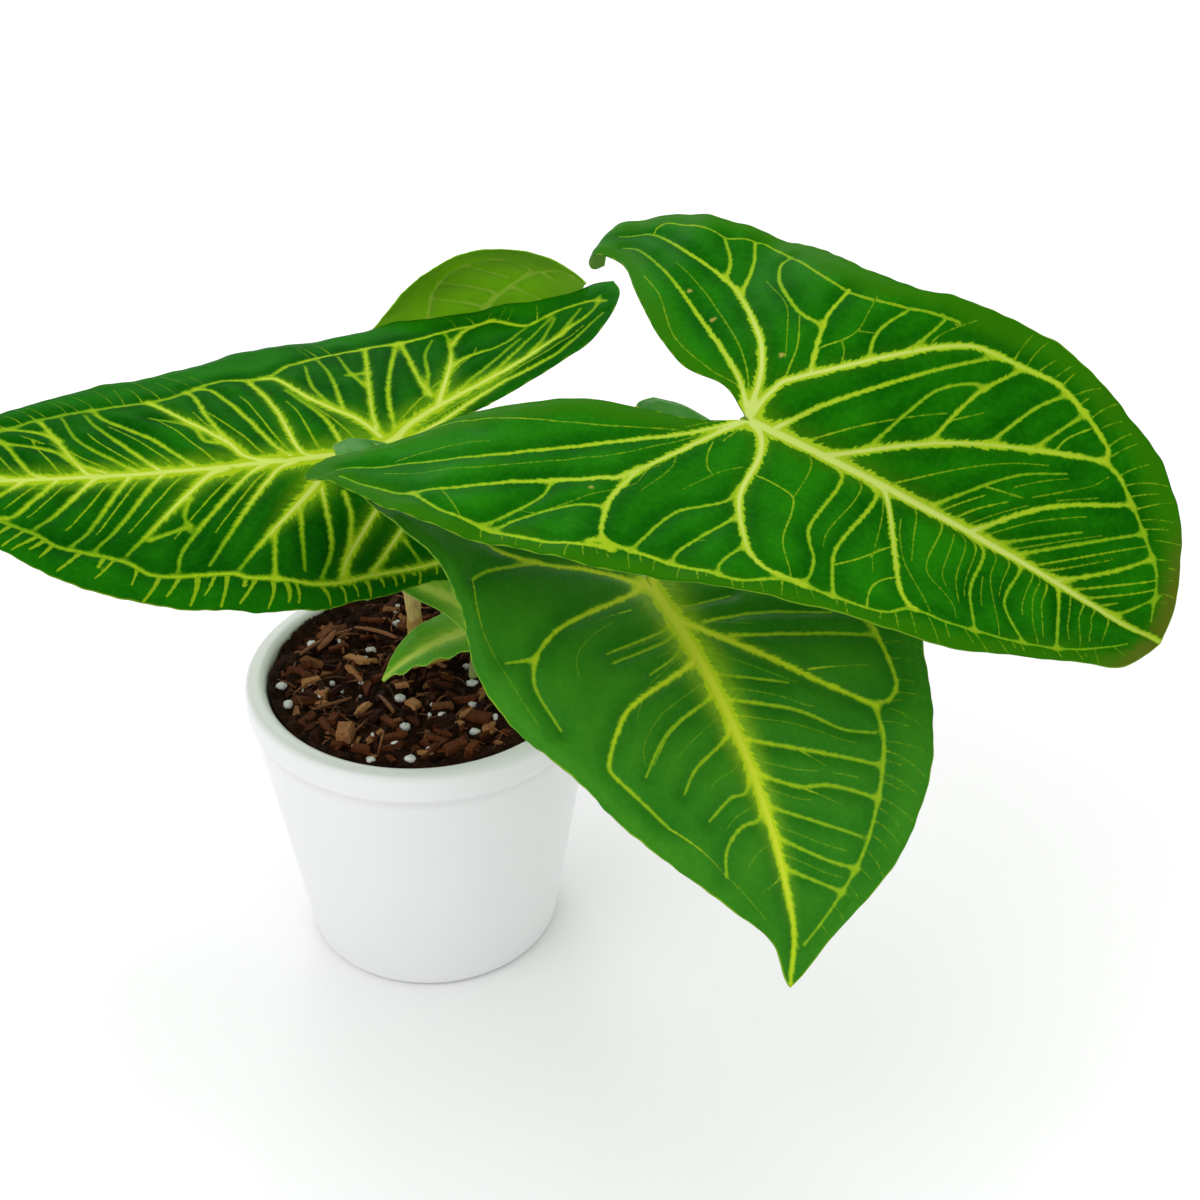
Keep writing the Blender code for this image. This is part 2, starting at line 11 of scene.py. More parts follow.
import bpy
import numpy as np
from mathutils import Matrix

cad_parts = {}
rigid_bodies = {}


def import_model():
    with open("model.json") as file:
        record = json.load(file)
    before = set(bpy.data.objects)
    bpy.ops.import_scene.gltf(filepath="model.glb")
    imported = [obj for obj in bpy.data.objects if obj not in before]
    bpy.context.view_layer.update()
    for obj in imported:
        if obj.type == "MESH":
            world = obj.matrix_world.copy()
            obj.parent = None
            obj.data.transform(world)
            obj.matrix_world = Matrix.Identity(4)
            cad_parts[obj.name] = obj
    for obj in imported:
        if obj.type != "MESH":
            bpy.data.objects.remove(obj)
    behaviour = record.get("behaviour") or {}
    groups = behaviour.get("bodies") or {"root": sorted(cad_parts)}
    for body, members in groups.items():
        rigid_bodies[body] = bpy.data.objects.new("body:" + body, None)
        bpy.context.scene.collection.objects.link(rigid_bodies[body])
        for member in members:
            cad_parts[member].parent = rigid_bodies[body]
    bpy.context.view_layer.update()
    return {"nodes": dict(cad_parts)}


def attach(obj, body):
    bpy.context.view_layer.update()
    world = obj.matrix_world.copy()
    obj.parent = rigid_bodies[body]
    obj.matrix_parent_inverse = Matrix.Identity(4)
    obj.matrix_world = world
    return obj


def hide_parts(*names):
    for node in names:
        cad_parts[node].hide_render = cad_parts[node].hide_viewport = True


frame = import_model()
print("nodes:", ", ".join(sorted(frame["nodes"])))

# %% [markdown]
# ## The camera
# The view looks down on the pot by about 34 degrees from 60 cm away, with a moderate telephoto lens. The
# lens is worked out from a focal length of 2034 pixels in a picture 1200 pixels wide, and Blender wants it
# in millimetres of the sensor's width. Depth of field stays off, so that every other view is sharp too.

# %% Camera
SENSOR_WIDTH, FOCAL_PIXELS, PICTURE_PIXELS = 36.0, 2034, 1200
LOOK_DOWN = 34.1
camera_data = bpy.data.cameras.new("camera")
camera_data.sensor_width = SENSOR_WIDTH
camera_data.lens = SENSOR_WIDTH * FOCAL_PIXELS / PICTURE_PIXELS
camera_data.clip_start = 0.01
camera = bpy.data.objects.new("camera", camera_data)
camera.location = (0.05413, -0.50048, 0.45829)
camera.rotation_euler = (math.radians(90 - LOOK_DOWN), 0, 0)
bpy.context.scene.collection.objects.link(camera)
bpy.context.scene.camera = camera
print("lens:", round(camera_data.lens, 2), "mm")

# %% [markdown]
# ## Reading the colours straight
# The leaves are a very saturated green. The standard view keeps such colours as they are, where the
# filmic views wash them out.

# %% View
bpy.context.scene.view_settings.view_transform = "Standard"

# %% [markdown]
# ## Floor and light
# A plant on a plain white ground needs soft light from everywhere, and a few larger lights to shape the
# waxy leaves. A white world does the first, and three square area lights do the second: one in front on
# the left, which reaches the pot under the leaves, one high above, and a weaker one behind, which gives
# the raised parts of the leaves a little sheen.

# %% Floor
def plane_mesh(name, half_side, height):
    """A square in the floor plane: its corners are half_side away from the origin on each axis."""
    mesh = bpy.data.meshes.new(name)
    corners = [(x * half_side, y * half_side, height) for x, y in ((-1, -1), (1, -1), (1, 1), (-1, 1))]
    mesh.from_pydata(corners, [], [(0, 1, 2, 3)])
    return mesh


floor_paint = bpy.data.materials.new("pale_floor")
floor_paint.use_nodes = True
floor_shader = floor_paint.node_tree.nodes["Principled BSDF"]
floor_shader.inputs["Base Color"].default_value = (0.88, 0.88, 0.885, 1)
floor_shader.inputs["Roughness"].default_value = 0.9
floor_shader.inputs["Specular IOR Level"].default_value = 0.1
floor = bpy.data.objects.new("floor", plane_mesh("floor", 6.0, -0.0002))
floor.data.materials.append(floor_paint)
bpy.context.scene.collection.objects.link(floor)

# %% Lights
def soft_light(name, place, aim, side, power):
    """A square area light at place that faces aim."""
    data = bpy.data.lights.new(name, "AREA")
    data.shape = "SQUARE"
    data.size = side
    data.energy = power
    light = bpy.data.objects.new(name, data)
    light.location = place
    x, y, z = np.array(aim) - np.array(place)
    tilt = math.atan2(math.hypot(x, y), -z)
    heading = math.atan2(y, x) - math.pi / 2
    light.rotation_euler = (tilt, 0, heading)
    bpy.context.scene.collection.objects.link(light)
    return light


soft_light("key", (-0.75, -0.75, 1.25), (0.03, 0, 0.12), 1.2, 6)
soft_light("top", (0.1, 0.35, 1.7), (0.03, 0, 0.15), 1.3, 5)
soft_light("back", (-0.35, 1.35, 1.0), (0.02, 0, 0.15), 0.7, 4)
world = bpy.data.worlds.new("white_room")
world.use_nodes = True
background = world.node_tree.nodes["Background"]
background.inputs["Color"].default_value = (1.0, 1.0, 1.0, 1)
background.inputs["Strength"].default_value = 0.97
bpy.context.scene.world = world

# %% [markdown]
# ## Tools for surfaces
# Every piece is a surface worked out with numpy, so a few helpers come first: an easing curve, a smooth
# curve through points, a repeatable soft noise, the faces of a grid or of a closed tube, and a function
# that turns arrays into a mesh. A mesh takes its numbers fastest with foreach_set, which copies a whole
# array at once.

# %% Curves and noise
def eased(share):
    """0 to 1 with a soft start and end: 3 share squared less 2 share cubed."""
    share = np.clip(share, 0, 1)
    return share * share * (3 - 2 * share)


def eased_between(stations, values, at):
    """The values at the stations, eased from each station to the next."""
    stations = np.asarray(stations)
    values = np.asarray(values)
    k = np.clip(np.searchsorted(stations, at, side="right") - 1, 0, len(stations) - 2)
    share = eased((at - stations[k]) / (stations[k + 1] - stations[k]))
    return values[k] * (1 - share) + values[k + 1] * share


def run_along(path):
    """How far each point of a path is from its first one, along the path."""
    return np.concatenate([[0], np.cumsum(np.linalg.norm(np.diff(path, axis=0), axis=1))])


def smooth_curve(points, count):
    """count points evenly spaced along a centripetal Catmull-Rom curve: a cubic between each two points
    whose slope at a point is the line between its neighbours."""
    points = np.asarray(points, float)
    chord = np.cumsum(np.sqrt(np.linalg.norm(np.diff(points, axis=0), axis=1)))
    before_last = chord[-2] if len(chord) > 1 else 0
    knots = np.concatenate([[-chord[0], 0], chord, [2 * chord[-1] - before_last]])
    ends = np.vstack([2 * points[0] - points[1], points, 2 * points[-1] - points[-2]])
    slopes = (ends[2:] - ends[:-2]) / (knots[2:] - knots[:-2])[:, None]
    at = np.linspace(0, chord[-1], 40 * len(points))
    k = np.clip(np.searchsorted(knots[1:-1], at, side="right") - 1, 0, len(points) - 2)
    step = (knots[k + 2] - knots[k + 1])[:, None]
    u = (at - knots[k + 1])[:, None] / step
    curve = (
        (2 * u**3 - 3 * u**2 + 1) * points[k]
        + (u**3 - 2 * u**2 + u) * step * slopes[k]
        + (3 * u**2 - 2 * u**3) * points[k + 1]
        + (u**3 - u**2) * step * slopes[k + 1]
    )
    run = run_along(curve)
    even = np.linspace(0, run[-1], count)
    return np.stack([np.interp(even, run, curve[:, axis]) for axis in range(points.shape[1])], 1)


def soft_noise(at, grain, seed, waves=14):
    """Smooth noise of about -1 to 1: the sum of sine waves in random directions, about grain long."""
    rng = np.random.default_rng(seed)
    at = np.asarray(at, float)
    ways = rng.normal(0, 1, (waves, at.shape[-1]))
    ways *= (2 * np.pi / grain * rng.uniform(0.6, 1.5, waves) / np.linalg.norm(ways, axis=1))[:, None]
    return np.sin(at @ ways.T + rng.uniform(0, 2 * np.pi, waves)).sum(-1) * math.sqrt(2 / waves) / 1.6


# %% Meshes
def grid_quads(rows, columns, closed=False, flip=False):
    """Quads over a grid of points numbered row by row. closed joins the last column to the first."""
    across = np.arange(columns if closed else columns - 1)
    row = np.arange(rows - 1)[:, None] * columns
    a, b = (row + across).reshape(-1), (row + (across + 1) % columns).reshape(-1)
    quads = np.stack([a, b, b + columns, a + columns], 1)
    return quads[:, ::-1] if flip else quads


def capped_faces(rows, sides):
    """Triangles of a closed tube of rings, rows of them, and of a fan at each end round one point more. The
    two points in the fans' middles are numbered last: the first ring's, then the last ring's."""
    quads = grid_quads(rows, sides, closed=True)
    this, following = np.arange(sides), (np.arange(sides) + 1) % sides
    low, high, last = rows * sides, rows * sides + 1, (rows - 1) * sides
    return np.vstack([
        quads[:, [0, 1, 2]],
        quads[:, [0, 2, 3]],
        np.stack([following, this, np.full(sides, low)], 1),
        np.stack([last + this, last + following, np.full(sides, high)], 1),
    ])


def new_mesh(name, points, faces, attributes=None):
    """A smooth mesh from arrays of points and of equal-sided faces, with a vector for each point by name."""
    faces = np.ascontiguousarray(faces, np.int32)
    sides = faces.shape[1]
    mesh = bpy.data.meshes.new(name)
    mesh.vertices.add(len(points))
    mesh.vertices.foreach_set("co", np.ascontiguousarray(points, np.float32).reshape(-1))
    mesh.loops.add(faces.size)
    mesh.loops.foreach_set("vertex_index", faces.reshape(-1))
    mesh.polygons.add(len(faces))
    mesh.polygons.foreach_set("loop_start", np.arange(0, faces.size, sides, dtype=np.int32))
    for key, values in (attributes or {}).items():
        layer = mesh.attributes.new(key, "FLOAT_VECTOR", "POINT")
        layer.data.foreach_set("vector", np.ascontiguousarray(values, np.float32).reshape(-1))
    mesh.update(calc_edges=True)
    mesh.validate()
    mesh.shade_smooth()
    return mesh


def add_piece(name, mesh, material, slot, *nodes):
    """A piece of the plant: it rides with the part, takes a finish, and may stand for CAD nodes."""
    piece = bpy.data.objects.new(name, mesh)
    mesh.materials.append(material)
    bpy.context.scene.collection.objects.link(piece)
    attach(piece, "root")
    if nodes:
        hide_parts(*nodes)
    triangles = sum(len(p.vertices) - 2 for p in mesh.polygons)
    print(f"{name}: {len(mesh.vertices)} points, {triangles} triangles")
    return piece


# %% [markdown]
# ## Writing materials as formulas
# A material's nodes read better as a formula than as a list of links. This small class adds a node for
# each call and gives back its output, so that a pattern can be written line by line. A number that is
# the same all over a surface is set on the shader's own socket.

# %% Material helper
class Finish:
    """A Principled material whose patterns are built up call by call."""

    def __init__(self, name, roughness, gloss):
        self.material = bpy.data.materials.new(name)
        self.material.use_nodes = True
        self.tree = self.material.node_tree
        self.shader = self.tree.nodes["Principled BSDF"]
        self.set("Roughness", roughness)
        self.set("Specular IOR Level", gloss)

    def set(self, socket, value):
        """Puts a number on a socket of the shader, or links an output to it."""
        self.give(self.shader.inputs[socket], value)

    def give(self, socket, value):
        """Links an output to a socket, or sets the socket's own value."""
        if isinstance(value, bpy.types.NodeSocket):
            self.tree.links.new(value, socket)
        elif isinstance(value, (tuple, list)) and socket.type == "RGBA":
            socket.default_value = (*value, 1)
        else:
            socket.default_value = value

    def read(self, name):
        """The vector that the mesh holds for each point under this name."""
        node = self.tree.nodes.new("ShaderNodeAttribute")
        node.attribute_name = name
        return node.outputs["Vector"]

    def place(self):
        """The point's own place on the object, in metres."""
        return self.tree.nodes.new("ShaderNodeTexCoord").outputs["Object"]

    def split(self, vector):
        """The three numbers of a vector."""
        node = self.tree.nodes.new("ShaderNodeSeparateXYZ")
        self.give(node.inputs[0], vector)
        return node.outputs[0], node.outputs[1], node.outputs[2]

    def join(self, x, y, z):
        """A vector from three numbers."""
        node = self.tree.nodes.new("ShaderNodeCombineXYZ")
        for socket, value in zip(node.inputs, (x, y, z)):
            self.give(socket, value)
        return node.outputs[0]

    def sum(self, operation, *values):
        """One arithmetic step by its name, such as SINE or DIVIDE. The commonest have short names below."""
        node = self.tree.nodes.new("ShaderNodeMath")
        node.operation = operation
        for socket, value in zip(node.inputs, values):
            self.give(socket, value)
        return node.outputs[0]

    def add(self, first, second):
        """first + second"""
        return self.sum("ADD", first, second)

    def less(self, first, second):
        """first - second"""
        return self.sum("SUBTRACT", first, second)

    def times(self, first, second):
        """first * second"""
        return self.sum("MULTIPLY", first, second)

    def larger(self, first, second):
        """The larger of the two."""
        return self.sum("MAXIMUM", first, second)

    def smaller(self, first, second):
        """The smaller of the two."""
        return self.sum("MINIMUM", first, second)

    def length(self, x, y):
        """The length of a flat vector: the square root of x squared plus y squared."""
        return self.sum("SQRT", self.add(self.times(x, x), self.times(y, y)))

    def ramp(self, value, low, high, start=0.0, end=1.0):
        """start below low, end above high, and an eased step between them."""
        node = self.tree.nodes.new("ShaderNodeMapRange")
        node.interpolation_type = "SMOOTHSTEP"
        for socket, number in zip(node.inputs, (value, low, high, start, end)):
            self.give(socket, number)
        return node.outputs[0]

    def blend(self, share, first, second):
        """The first colour turning into the second as share goes from 0 to 1."""
        node = self.tree.nodes.new("ShaderNodeMix")
        node.data_type = "RGBA"
        self.give(node.inputs["Factor"], share)
        self.give(node.inputs[6], first)
        self.give(node.inputs[7], second)
        return node.outputs[2]

    def noise(self, at, scale, detail, rough=0.5):
        """Cloudy noise of 0 to 1 round 0.5."""
        node = self.tree.nodes.new("ShaderNodeTexNoise")
        self.give(node.inputs["Vector"], at)
        self.give(node.inputs["Scale"], scale)
        self.give(node.inputs["Detail"], detail)
        self.give(node.inputs["Roughness"], rough)
        return node.outputs[0]

    def between_lines(self, gap):
        """The distance to the nearest line as the mesh tells it, let down to zero close to the line: the
        smaller of gap and 2 (gap - 0.42). Between two lines it keeps the way from passing through zero."""
        return self.smaller(gap, self.times(self.less(gap, 0.42), 2.0))

    def bump(self, height, depth, strength):
        """Tilts the surface as if height, 0 to 1, raised it by depth metres."""
        node = self.tree.nodes.new("ShaderNodeBump")
        self.give(node.inputs["Strength"], strength)
        self.give(node.inputs["Distance"], depth)
        self.give(node.inputs["Height"], height)
        self.set("Normal", node.outputs[0])


# %% [markdown]
# ## The pot
# A small glazed pot: a tapered wall and a thick rounded rim. It is a turned form, so one profile of
# radius and height is carried round the axis. The solid pot has 68 flat sides; the finer one has 180 that
# are shaded smooth and a longer profile, so that the rim's highlight runs smoothly. The drainage holes are
# cut with a Boolean whose result is kept as the mesh.

# %% Pot shape
POT_HEIGHT, RIM_RADIUS, RIM_WIDTH = 0.0945, 0.0535, 0.0065
RIM_DEPTH, RIM_STEP, RIM_SQUARENESS = 0.0090, 0.0014, 0.75
BASE_RADIUS, FLOOR_THICKNESS, WALL_THICKNESS = 0.0400, 0.006, 0.0058
FOOT_ROUND, CORNER_ROUND, CORNER_REACH = 0.0026, 0.004, 0.012
HOLE_RADIUS, HOLE_DISTANCE, HOLES = 0.0035, 0.0225, 4
POT_SIDES, HOLE_SIDES = 180, 32


def inner_radius(height):
    """The pot's inner radius: a straight line from the floor's to the rim's."""
    low = BASE_RADIUS - WALL_THICKNESS
    return low + (RIM_RADIUS - RIM_WIDTH - low) * (height / POT_HEIGHT)


def arc(middle, radius, start, end, steps):
    """Points on a circle: the middle plus radius times the cosine and sine of the angle, in degrees."""
    angle = np.radians(np.linspace(start, end, steps))
    return np.array(middle) + radius * np.stack([np.cos(angle), np.sin(angle)], 1)


def turned(profile, sides):
    """Points and triangles of a profile turned about Z: x = r cos t, y = r sin t, z = h. The profile starts
    and ends on the axis, and each end is one point with a fan round it."""
    profile = np.asarray(profile, float)
    turn = np.arange(sides) * 2 * np.pi / sides
    ring = np.stack([np.cos(turn), np.sin(turn), np.ones(sides)], 1)
    rings = (profile[1:-1, None, [0, 0, 1]] * ring).reshape(-1, 3)
    ends = [[0, 0, profile[0, 1]], [0, 0, profile[-1, 1]]]
    return np.vstack([rings, ends]), capped_faces(len(profile) - 2, sides)


lip = RIM_WIDTH / 2
rim_foot = POT_HEIGHT - RIM_DEPTH
wall = np.linspace(0, 1, 16)[1:-1, None]
outer_foot = np.array([BASE_RADIUS, FOOT_ROUND])
outer_neck = np.array([RIM_RADIUS - RIM_STEP, rim_foot - 0.0030])
rim_step = smooth_curve([
    outer_neck,
    (RIM_RADIUS - RIM_STEP * 0.96, rim_foot - 0.0016),
    (RIM_RADIUS - RIM_STEP * 0.45, rim_foot - 0.0004),
    (RIM_RADIUS - 0.0001, rim_foot + 0.0008),
    (RIM_RADIUS, POT_HEIGHT - lip - 0.0012),
], 16)
bend = np.radians(np.linspace(0, 180, 34))
lip_top = np.stack([
    RIM_RADIUS - lip + lip * np.sign(np.cos(bend)) * abs(np.cos(bend)) ** RIM_SQUARENESS,
    POT_HEIGHT - lip + lip * abs(np.sin(bend)) ** RIM_SQUARENESS,
], 1)
inner_neck = np.array([inner_radius(POT_HEIGHT - CORNER_REACH), POT_HEIGHT - CORNER_REACH])
inner_foot = np.array([inner_radius(CORNER_REACH), CORNER_REACH])
corner = (inner_foot[0] - CORNER_ROUND, FLOOR_THICKNESS + CORNER_ROUND)
pot_profile = np.vstack([
    [(0, 0), (0.012, 0), (0.026, 0)],
    arc((BASE_RADIUS - FOOT_ROUND, FOOT_ROUND), FOOT_ROUND, -90, 0, 8),
    outer_foot + (outer_neck - outer_foot) * wall,
    rim_step,
    lip_top,
    inner_neck + (inner_foot - inner_neck) * np.linspace(0, 1, 8)[:, None],
    arc(corner, CORNER_ROUND, 0, -90, 7),
    [(0.026, FLOOR_THICKNESS), (0.012, FLOOR_THICKNESS), (0, FLOOR_THICKNESS)],
])
pot_points, pot_faces = turned(pot_profile, POT_SIDES)
print("pot profile:", len(pot_profile), "points")


# %% Drainage holes
def cut(mesh, cutters):
    """The mesh with each cutter (points, faces) taken out of it by an exact Boolean, smooth shaded."""
    scene = bpy.context.scene
    body = bpy.data.objects.new("body", mesh)
    scene.collection.objects.link(body)
    group = bpy.data.collections.new("cutters")
    for points, faces in cutters:
        group.objects.link(bpy.data.objects.new("cutter", new_mesh("cutter", points, faces)))
    modifier = body.modifiers.new("Cut", "BOOLEAN")
    modifier.operation = "DIFFERENCE"
    modifier.operand_type = "COLLECTION"
    modifier.collection = group
    modifier.solver = "EXACT"
    bpy.context.view_layer.update()
    graph = bpy.context.evaluated_depsgraph_get()
    result = bpy.data.meshes.new_from_object(body.evaluated_get(graph), depsgraph=graph)
    for cutter in list(group.objects):
        bpy.data.objects.remove(cutter)
    bpy.data.collections.remove(group)
    bpy.data.objects.remove(body)
    return result


drill = [(0, -0.01), (HOLE_RADIUS, -0.01), (HOLE_RADIUS, 0.02), (0, 0.02)]
drain_points, drain_faces = turned(drill, HOLE_SIDES)
drains = [
    (drain_points + (HOLE_DISTANCE * math.cos(a), HOLE_DISTANCE * math.sin(a), 0), drain_faces)
    for a in (np.arange(HOLES) + 0.5) * math.pi / 2
]
pot_mesh = cut(new_mesh("pot_fine", pot_points, pot_faces), drains)
print("pot with its drainage holes:", len(pot_mesh.polygons), "faces")

# %% [markdown]
# ## The glaze
# A white glaze is smooth and bright, with a satin gloss. Its white varies faintly, as a hand-dipped glaze
# does, and a grey band of painted shade lies where the wall turns under the rim. One flat white would look
# like plastic, so a soft noise and the point's height mix three whites, the greyest of them that painted
# shade. Both are read at the point's own place on the pot, so the pattern stays put from every side.

# %% Glaze
glaze = Finish("white_glaze", 0.3, 0.4)
place = glaze.place()
height = glaze.split(place)[2]
clouds = glaze.noise(place, 35, 2, 0.5)
white = glaze.blend(clouds, (0.74, 0.75, 0.75), (0.77, 0.78, 0.78))
# Painted shade: the glaze is greyed in a band just under the rim's step, where the rim shades the wall.
from_step = glaze.sum("ABSOLUTE", glaze.less(height, rim_foot - 0.0018))
painted_rim_shade = glaze.ramp(from_step, 0.0, 0.003, 0.3, 0.0)
white = glaze.blend(painted_rim_shade, white, (0.58, 0.58, 0.57))
glaze.set("Base Color", white)
add_piece("pot_fine", pot_mesh, glaze.material, "pot", "pot")

# %% [markdown]
# ## A blade's outline
# A blade could be cut out of a flat plane, but then its grid wouldn't follow its edge and would tear when
# it is bent. So every blade is one arrowhead laid flat, in shares of its midrib's length. Half an outline is
# two lines that start at the back lobe's tip: the margin runs round to the leaf's tip, and the notch runs
# in to the junction, where the stalk meets the blade. A grid of points lies between the two lines: a row
# runs from the notch or the midrib out to the margin. The numbers are those of the solids. Only the front
# leaf's notch is a little narrower near the junction, and the lower young leaf has a ragged margin.

# %% Outline
MARGIN = (
    (-0.74, 0.40), (-0.70, 0.475), (-0.58, 0.53), (-0.36, 0.54), (-0.10, 0.505), (0.15, 0.475),
    (0.40, 0.41), (0.62, 0.30), (0.80, 0.16), (0.92, 0.06), (0.975, 0.022), (1.0, 0.0),
)
NOTCH = (
    (-0.74, 0.40), (-0.71, 0.335), (-0.58, 0.25), (-0.38, 0.15), (-0.18, 0.07), (-0.05, 0.02), (0.0, 0.0),
)


def half(lobe, spread, fold, fold_back, curl, curl_back, lobe_droop, width, notch=(0, 0), hook=0,
         lobe_shift=(0, 0), margin_swell=(0,), notch_swell=(0,)):
    """One half of a blade. lobe and width are factors on the outline, spread turns the lobe outwards, fold
    and curl bend the half across, with a value of each for the part behind the junction, and lobe_droop
    and hook bend the lobe down. The two swells push the margin and the notch sideways at even steps, in
    thousandths of the midrib, and lobe_shift moves the lobe's end."""
    return dict(lobe=lobe, spread=spread, fold=fold, fold_back=fold_back, curl=curl, curl_back=curl_back,
                lobe_droop=lobe_droop, width=width, notch=notch, hook=hook,
                lobe_shift=lobe_shift, margin_swell=margin_swell, notch_swell=notch_swell)


def swollen(line, swell, shift):
    """A line pushed sideways by a smooth course through swell, and by shift near its start, which is the
    lobe's end."""
    ahead = np.gradient(line, axis=0)
    ahead /= np.linalg.norm(ahead, axis=1)[:, None]
    stations = np.linspace(0, 1, len(swell) + 2)
    course = smooth_curve(np.stack([stations, [0, *swell, 0]], 1), 2000)
    amount = np.interp(np.linspace(0, 1, len(line)), *course.T) / 1000
    run = run_along(line)
    sideways = np.stack([-ahead[:, 1], ahead[:, 0]], 1)
    near_lobe = 1 - eased(run / 0.22)
    return line + sideways * amount[:, None] + near_lobe[:, None] * np.array(shift)


# %% Half a blade laid flat
LOBE_LENGTH, JUNCTION_SHARE = 0.74, 0.42
WIDTH_STATIONS = (-0.62, -0.20, 0.20, 0.55, 0.86)
LINE_POINTS, EDGE_WAVER = 400, 0.0009


def flat_half(shape, rows, columns):
    """Half a blade laid flat: the notch or midrib line plus a column's share of the way to the margin, whose
    edge wavers outwards and inwards by two sines, a sixth of a millimetre on a large leaf."""
    margin, notch = np.array(MARGIN), np.array(NOTCH)
    margin[:, 1] *= eased_between(WIDTH_STATIONS, shape["width"], margin[:, 0])
    back = np.clip(-notch[:, 0] / LOBE_LENGTH, 0, 1)
    near_tip = np.clip(1 - abs(back - 0.74) / 0.26, 0, 1)
    middle = np.clip(1 - abs(back - 0.38) / 0.36, 0, 1)
    notch[:, 1] -= 0.1 * (shape["notch"][0] * near_tip + shape["notch"][1] * middle)
    notch[:, 1] *= shape["width"][0]
    for line in (margin, notch):
        line[:, 0] *= np.where(line[:, 0] < 0, shape["lobe"], 1)
        turn = np.radians(shape["spread"]) * eased(-line[:, 0] / 0.3)
        along, across = line.T.copy()
        line[:, 0] = along * np.cos(turn) + across * np.sin(turn)
        line[:, 1] = across * np.cos(turn) - along * np.sin(turn)
    outer = swollen(smooth_curve(margin, LINE_POINTS), shape["margin_swell"], shape["lobe_shift"])
    inner = swollen(smooth_curve(notch, LINE_POINTS), shape["notch_swell"], shape["lobe_shift"])
    share = np.linspace(0, 1, LINE_POINTS)
    behind = np.minimum(rows / JUNCTION_SHARE, 1)
    ahead = np.maximum((rows - JUNCTION_SHARE) / (1 - JUNCTION_SHARE), 0)
    out = np.stack([np.interp(rows, share, outer[:, axis]) for axis in (0, 1)], 1)
    inn = np.stack([np.interp(behind, share, inner[:, axis]) for axis in (0, 1)], 1)
    inn[:, 0] += ahead
    waver = np.sin(150 * rows + 1.3) + 0.7 * np.sin(263 * rows + 0.4)
    waver = EDGE_WAVER * waver * np.sin(np.pi * rows) ** 0.5
    out = out + (out - inn) * (waver / np.maximum(np.linalg.norm(out - inn, axis=1), 0.02))[:, None]
    return inn[:, None] + (out - inn)[:, None] * columns[None, :, None]


# %% [markdown]
# ## Bending the blade
# A real blade folds up or down from its midrib, curls across its width, and droops towards its tip and
# its lobes. Each of these is an arc: going out from the midrib, the slope starts at the fold angle and
# grows by the curl, and going along the midrib it grows by the droop. The flat grid is bent by these
# formulas, so the outline, the veins and the relief all bend together.

# %% Bend
MARGIN_WAVE, EDGE_RIPPLE, SPINE_STEP = 0.007, 0.0018, 0.005


def bent_half(leaf, side, flat):
    """Half a blade bent, in the leaf's own frame. Across: the sine and cosine of fold + curl times the
    distance, integrated. Along: the running sum of the droop angle's cosine and sine."""
    shape = leaf["left"] if side > 0 else leaf["right"]
    along, across = np.moveaxis(flat, -1, 0)
    share = eased((along + 0.25) / 0.55)
    fold = np.radians(shape["fold_back"] + (shape["fold"] - shape["fold_back"]) * share)
    curl = shape["curl_back"] + (shape["curl"] - shape["curl_back"]) * share
    curl = np.where(abs(curl) < 1e-4, 1e-4, curl)
    sideways = (np.sin(fold + curl * across) - np.sin(fold)) / curl
    rise = (np.cos(fold) - np.cos(fold + curl * across)) / curl
    spine = np.linspace(-1.2, 1.2, 481)
    angle = np.where(
        spine > 0,
        np.radians(leaf["droop"]) * abs(spine) ** 1.3,
        -np.radians(shape["lobe_droop"]) * abs(spine) ** 1.5,
    )
    angle = angle - np.radians(shape["hook"]) * eased((-spine - 0.56) / 0.10)
    reach, drop = np.cumsum(np.cos(angle)) * SPINE_STEP, np.cumsum(-np.sin(angle)) * SPINE_STEP
    reach -= np.interp(0, spine, reach)
    drop -= np.interp(0, spine, drop)
    lean = np.interp(along, spine, angle)
    rise = rise + MARGIN_WAVE * np.clip(across / 0.5, 0, 1.2) ** 2 * np.sin(20 * along + 2 * side)
    ripple = np.clip(across / 0.5, 0, 1.1) ** 3 * np.sin(52 * along + 9 * across + 3 * side)
    rise = rise + EDGE_RIPPLE * ripple
    ahead, aside = np.array(leaf.get("tip", (0, 0)))[:, None, None] * eased((along - 0.84) / 0.16) ** 2
    return leaf["length"] * np.stack([
        np.interp(along, spine, reach) + rise * np.sin(lean) + ahead,
        side * sideways + aside,
        np.interp(along, spine, drop) + rise * np.cos(lean),
    ], -1)


def leaf_frame(leaf):
    """Three directions as columns: along the midrib, across it to the left, out of the upper face."""
    azimuth, elevation, roll = np.radians([leaf["azimuth"], leaf["elevation"], leaf["roll"]])
    ahead = np.array([
        np.cos(elevation) * np.cos(azimuth),
        np.cos(elevation) * np.sin(azimuth),
        np.sin(elevation),
    ])
    level = np.array([-np.sin(azimuth), np.cos(azimuth), 0])
    left = level * np.cos(roll) + np.cross(ahead, level) * np.sin(roll)
    return np.stack([ahead, left, np.cross(ahead, left)], 1)
